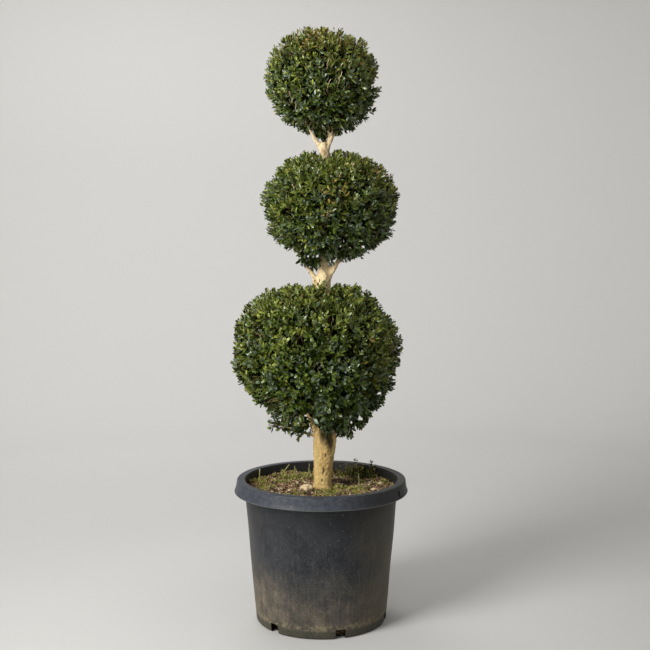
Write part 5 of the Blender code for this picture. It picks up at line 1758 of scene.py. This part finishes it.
def growSpray():
    # The stem runs on from the bough and droops a little; shoots leave bough and stem all round in turn,
    # and point further forward towards its tip
    rng = np.random.default_rng(spray["seed"])
    path, count = limbs[spray["bough"]][:, :3], spray["shoots"]
    stem = unit(path[-1] - path[-2])
    direction = unit(stem + spray["lean"])
    foot, tip = path[-1] - stem * spray["overlap"], path[-1] + direction * spray["length"]
    main = curveAt(foot, foot + stem * spray["length"] * 0.5, tip, np.linspace(0, 1, spray["points"]))
    line = np.concatenate([path[int(len(path) * spray["from"]):-1], main])
    spots = np.linspace(0, len(line) - 1, count)
    feet = np.stack([np.interp(spots, np.arange(len(line)), line[:, i]) for i in range(3)], -1)
    side = unit(np.cross(direction, [0, 0, 1.0]))
    above = np.cross(side, direction)
    turn = np.arange(count) * spray["turn"] + spray["firstTurn"]
    out = np.cos(turn)[:, None] * side + np.sin(turn)[:, None] * above
    outward = unit(direction * np.linspace(*spray["forward"], count)[:, None] + out)
    length = rng.uniform(*spray["shootLength"], count)[:, None]
    length[-2:] *= spray["lastLength"]
    tips = feet + outward * length
    middles = feet + unit(outward + direction * spray["bend"]) * length * 0.5
    leaves = leavesOn(feet, middles, tips, rng)
    leaves["wanted"] &= limbGap(leaves["roots"], ["trunk"]) > spray["trunkGap"]
    tint = rng.integers(0, 3, leaves["wanted"].shape)  # the first three tints
    makeLeaves("leaves_spray", leaves, tint, ["spray_low"], spray["leafSize"])
    shoots = curveLines(feet, middles, tips, spray["shootPoints"])
    woody = joinShapes([
        tubes(main[None], np.linspace(*spray["radii"], spray["points"]), spray["sides"]),
        tubes(shoots, np.linspace(*spray["shootRadii"], spray["shootPoints"]), spray["shootSides"]),
    ])
    finishPiece(makeObject("twigs_spray", *woody, twigMaterial), ["spray_low"])


growSpray()

# Small weeds on the soil

weeds = {
    "seed": 5, "mound": (0.098, 0.140), "spread": (0.038, 0.015), "rim": 0.178, "stems": 250,
    "height": (0.007, 0.025), "lean": 1.30, "bend": 0.002, "leafSize": 0.56, "slim": 1.25,
    "tints": ("deep", "deep", "deep", "olive", "bronze"), "radii": (0.0008, 0.0004), "points": 5, "sides": 5,
    # tips that show over the rim, and how far back their feet and middles stand
    "sprigs": (
        (0.0940, 0.160, 0.3830), (0.0990, 0.158, 0.3800), (0.1340, 0.140, 0.3820), (0.1380, 0.142, 0.3800),
        (0.1490, 0.130, 0.3720), (0.0560, 0.165, 0.3730), (0.0700, 0.160, 0.3700), (0.1160, 0.150, 0.3720),
    ),
    "sprigFeet": (0.006, 0.010, 0.0), "sprigMiddles": (0.002, 0.003, 0.0),
}
stalks = {
    # foot's x and y, then the height and the lean to the right
    "places": (
        (-0.1664, 0.0709, 0.032, 0.06), (0.0995, 0.0362, 0.035, -0.04), (-0.0759, 0.1400, 0.030, 0.10),
        (-0.0370, 0.1500, 0.034, 0.12), (-0.1080, 0.1450, 0.026, 0.75),
    ),
    "sunk": 0.001, "bend": 0.0012, "radii": (0.0016, 0.0009), "points": 6, "sides": 6, "leafSize": 0.40,
    "pairs": 4, "tones": ((0.42, 0.40, 0.20), (0.30, 0.28, 0.12)),
}


def growWeeds():
    # A clump at the back right with leaves down its stems, and a few pale stalks with leaves at the tip
    rng = np.random.default_rng(weeds["seed"])
    count = weeds["stems"]
    place = np.array(weeds["mound"]) + rng.normal(size=(count, 2)) * weeds["spread"]
    place *= np.minimum(1, weeds["rim"] / np.hypot(*place.T))[:, None]
    feet = np.column_stack([place, soilTop(*place.T)])
    lean = unit(rng.normal(size=(count, 3)) * weeds["lean"] + [0, 0, 1.0])
    tips = feet + lean * rng.uniform(*weeds["height"], count)[:, None]
    middles = (feet + tips) / 2 + rng.normal(size=(count, 3)) * weeds["bend"]
    sprigs = np.array(weeds["sprigs"])
    roots = sprigs - weeds["sprigFeet"]
    roots[:, 2] = soilTop(roots[:, 0], roots[:, 1])
    feet, tips = np.concatenate([feet, roots]), np.concatenate([tips, sprigs])
    middles = np.concatenate([middles, (roots + sprigs) / 2 - weeds["sprigMiddles"]])
    leaves = leavesOn(feet, middles, tips, rng)
    tint = dealTints(weeds["tints"], leaves["wanted"].shape, rng)
    makeLeaves("leaves_weed", leaves, tint, ["soil"], weeds["leafSize"], weeds["slim"])
    stems = curveLines(feet, middles, tips, weeds["points"])
    radii = np.linspace(*weeds["radii"], weeds["points"])
    makeTubes("weed_stems", stems, radii, weeds["sides"], shootMaterial, ["soil"])
    spots = np.array(stalks["places"])
    feet = np.column_stack([spots[:, :2], soilTop(spots[:, 0], spots[:, 1]) - stalks["sunk"]])
    tips = feet + np.column_stack([spots[:, 3] * spots[:, 2], np.zeros(len(spots)), spots[:, 2]])
    middles = (feet + tips) / 2 + [stalks["bend"], 0, 0]
    leaves = leavesOn(feet, middles, tips, rng)
    leaves["wanted"][:, stalks["pairs"]:] = False
    tint = np.full(leaves["wanted"].shape, tintNames.index("olive"))
    makeLeaves("leaves_stalk", leaves, tint, ["soil"], stalks["leafSize"])
    lines = curveLines(feet, middles, tips, stalks["points"])
    radii = np.linspace(*stalks["radii"], stalks["points"])
    material = plainMaterial("paleStalk", stalks["tones"], 60.0)
    makeTubes("weed_stalks", lines, radii, stalks["sides"], material, ["soil"])


growWeeds()
print("foliage made")
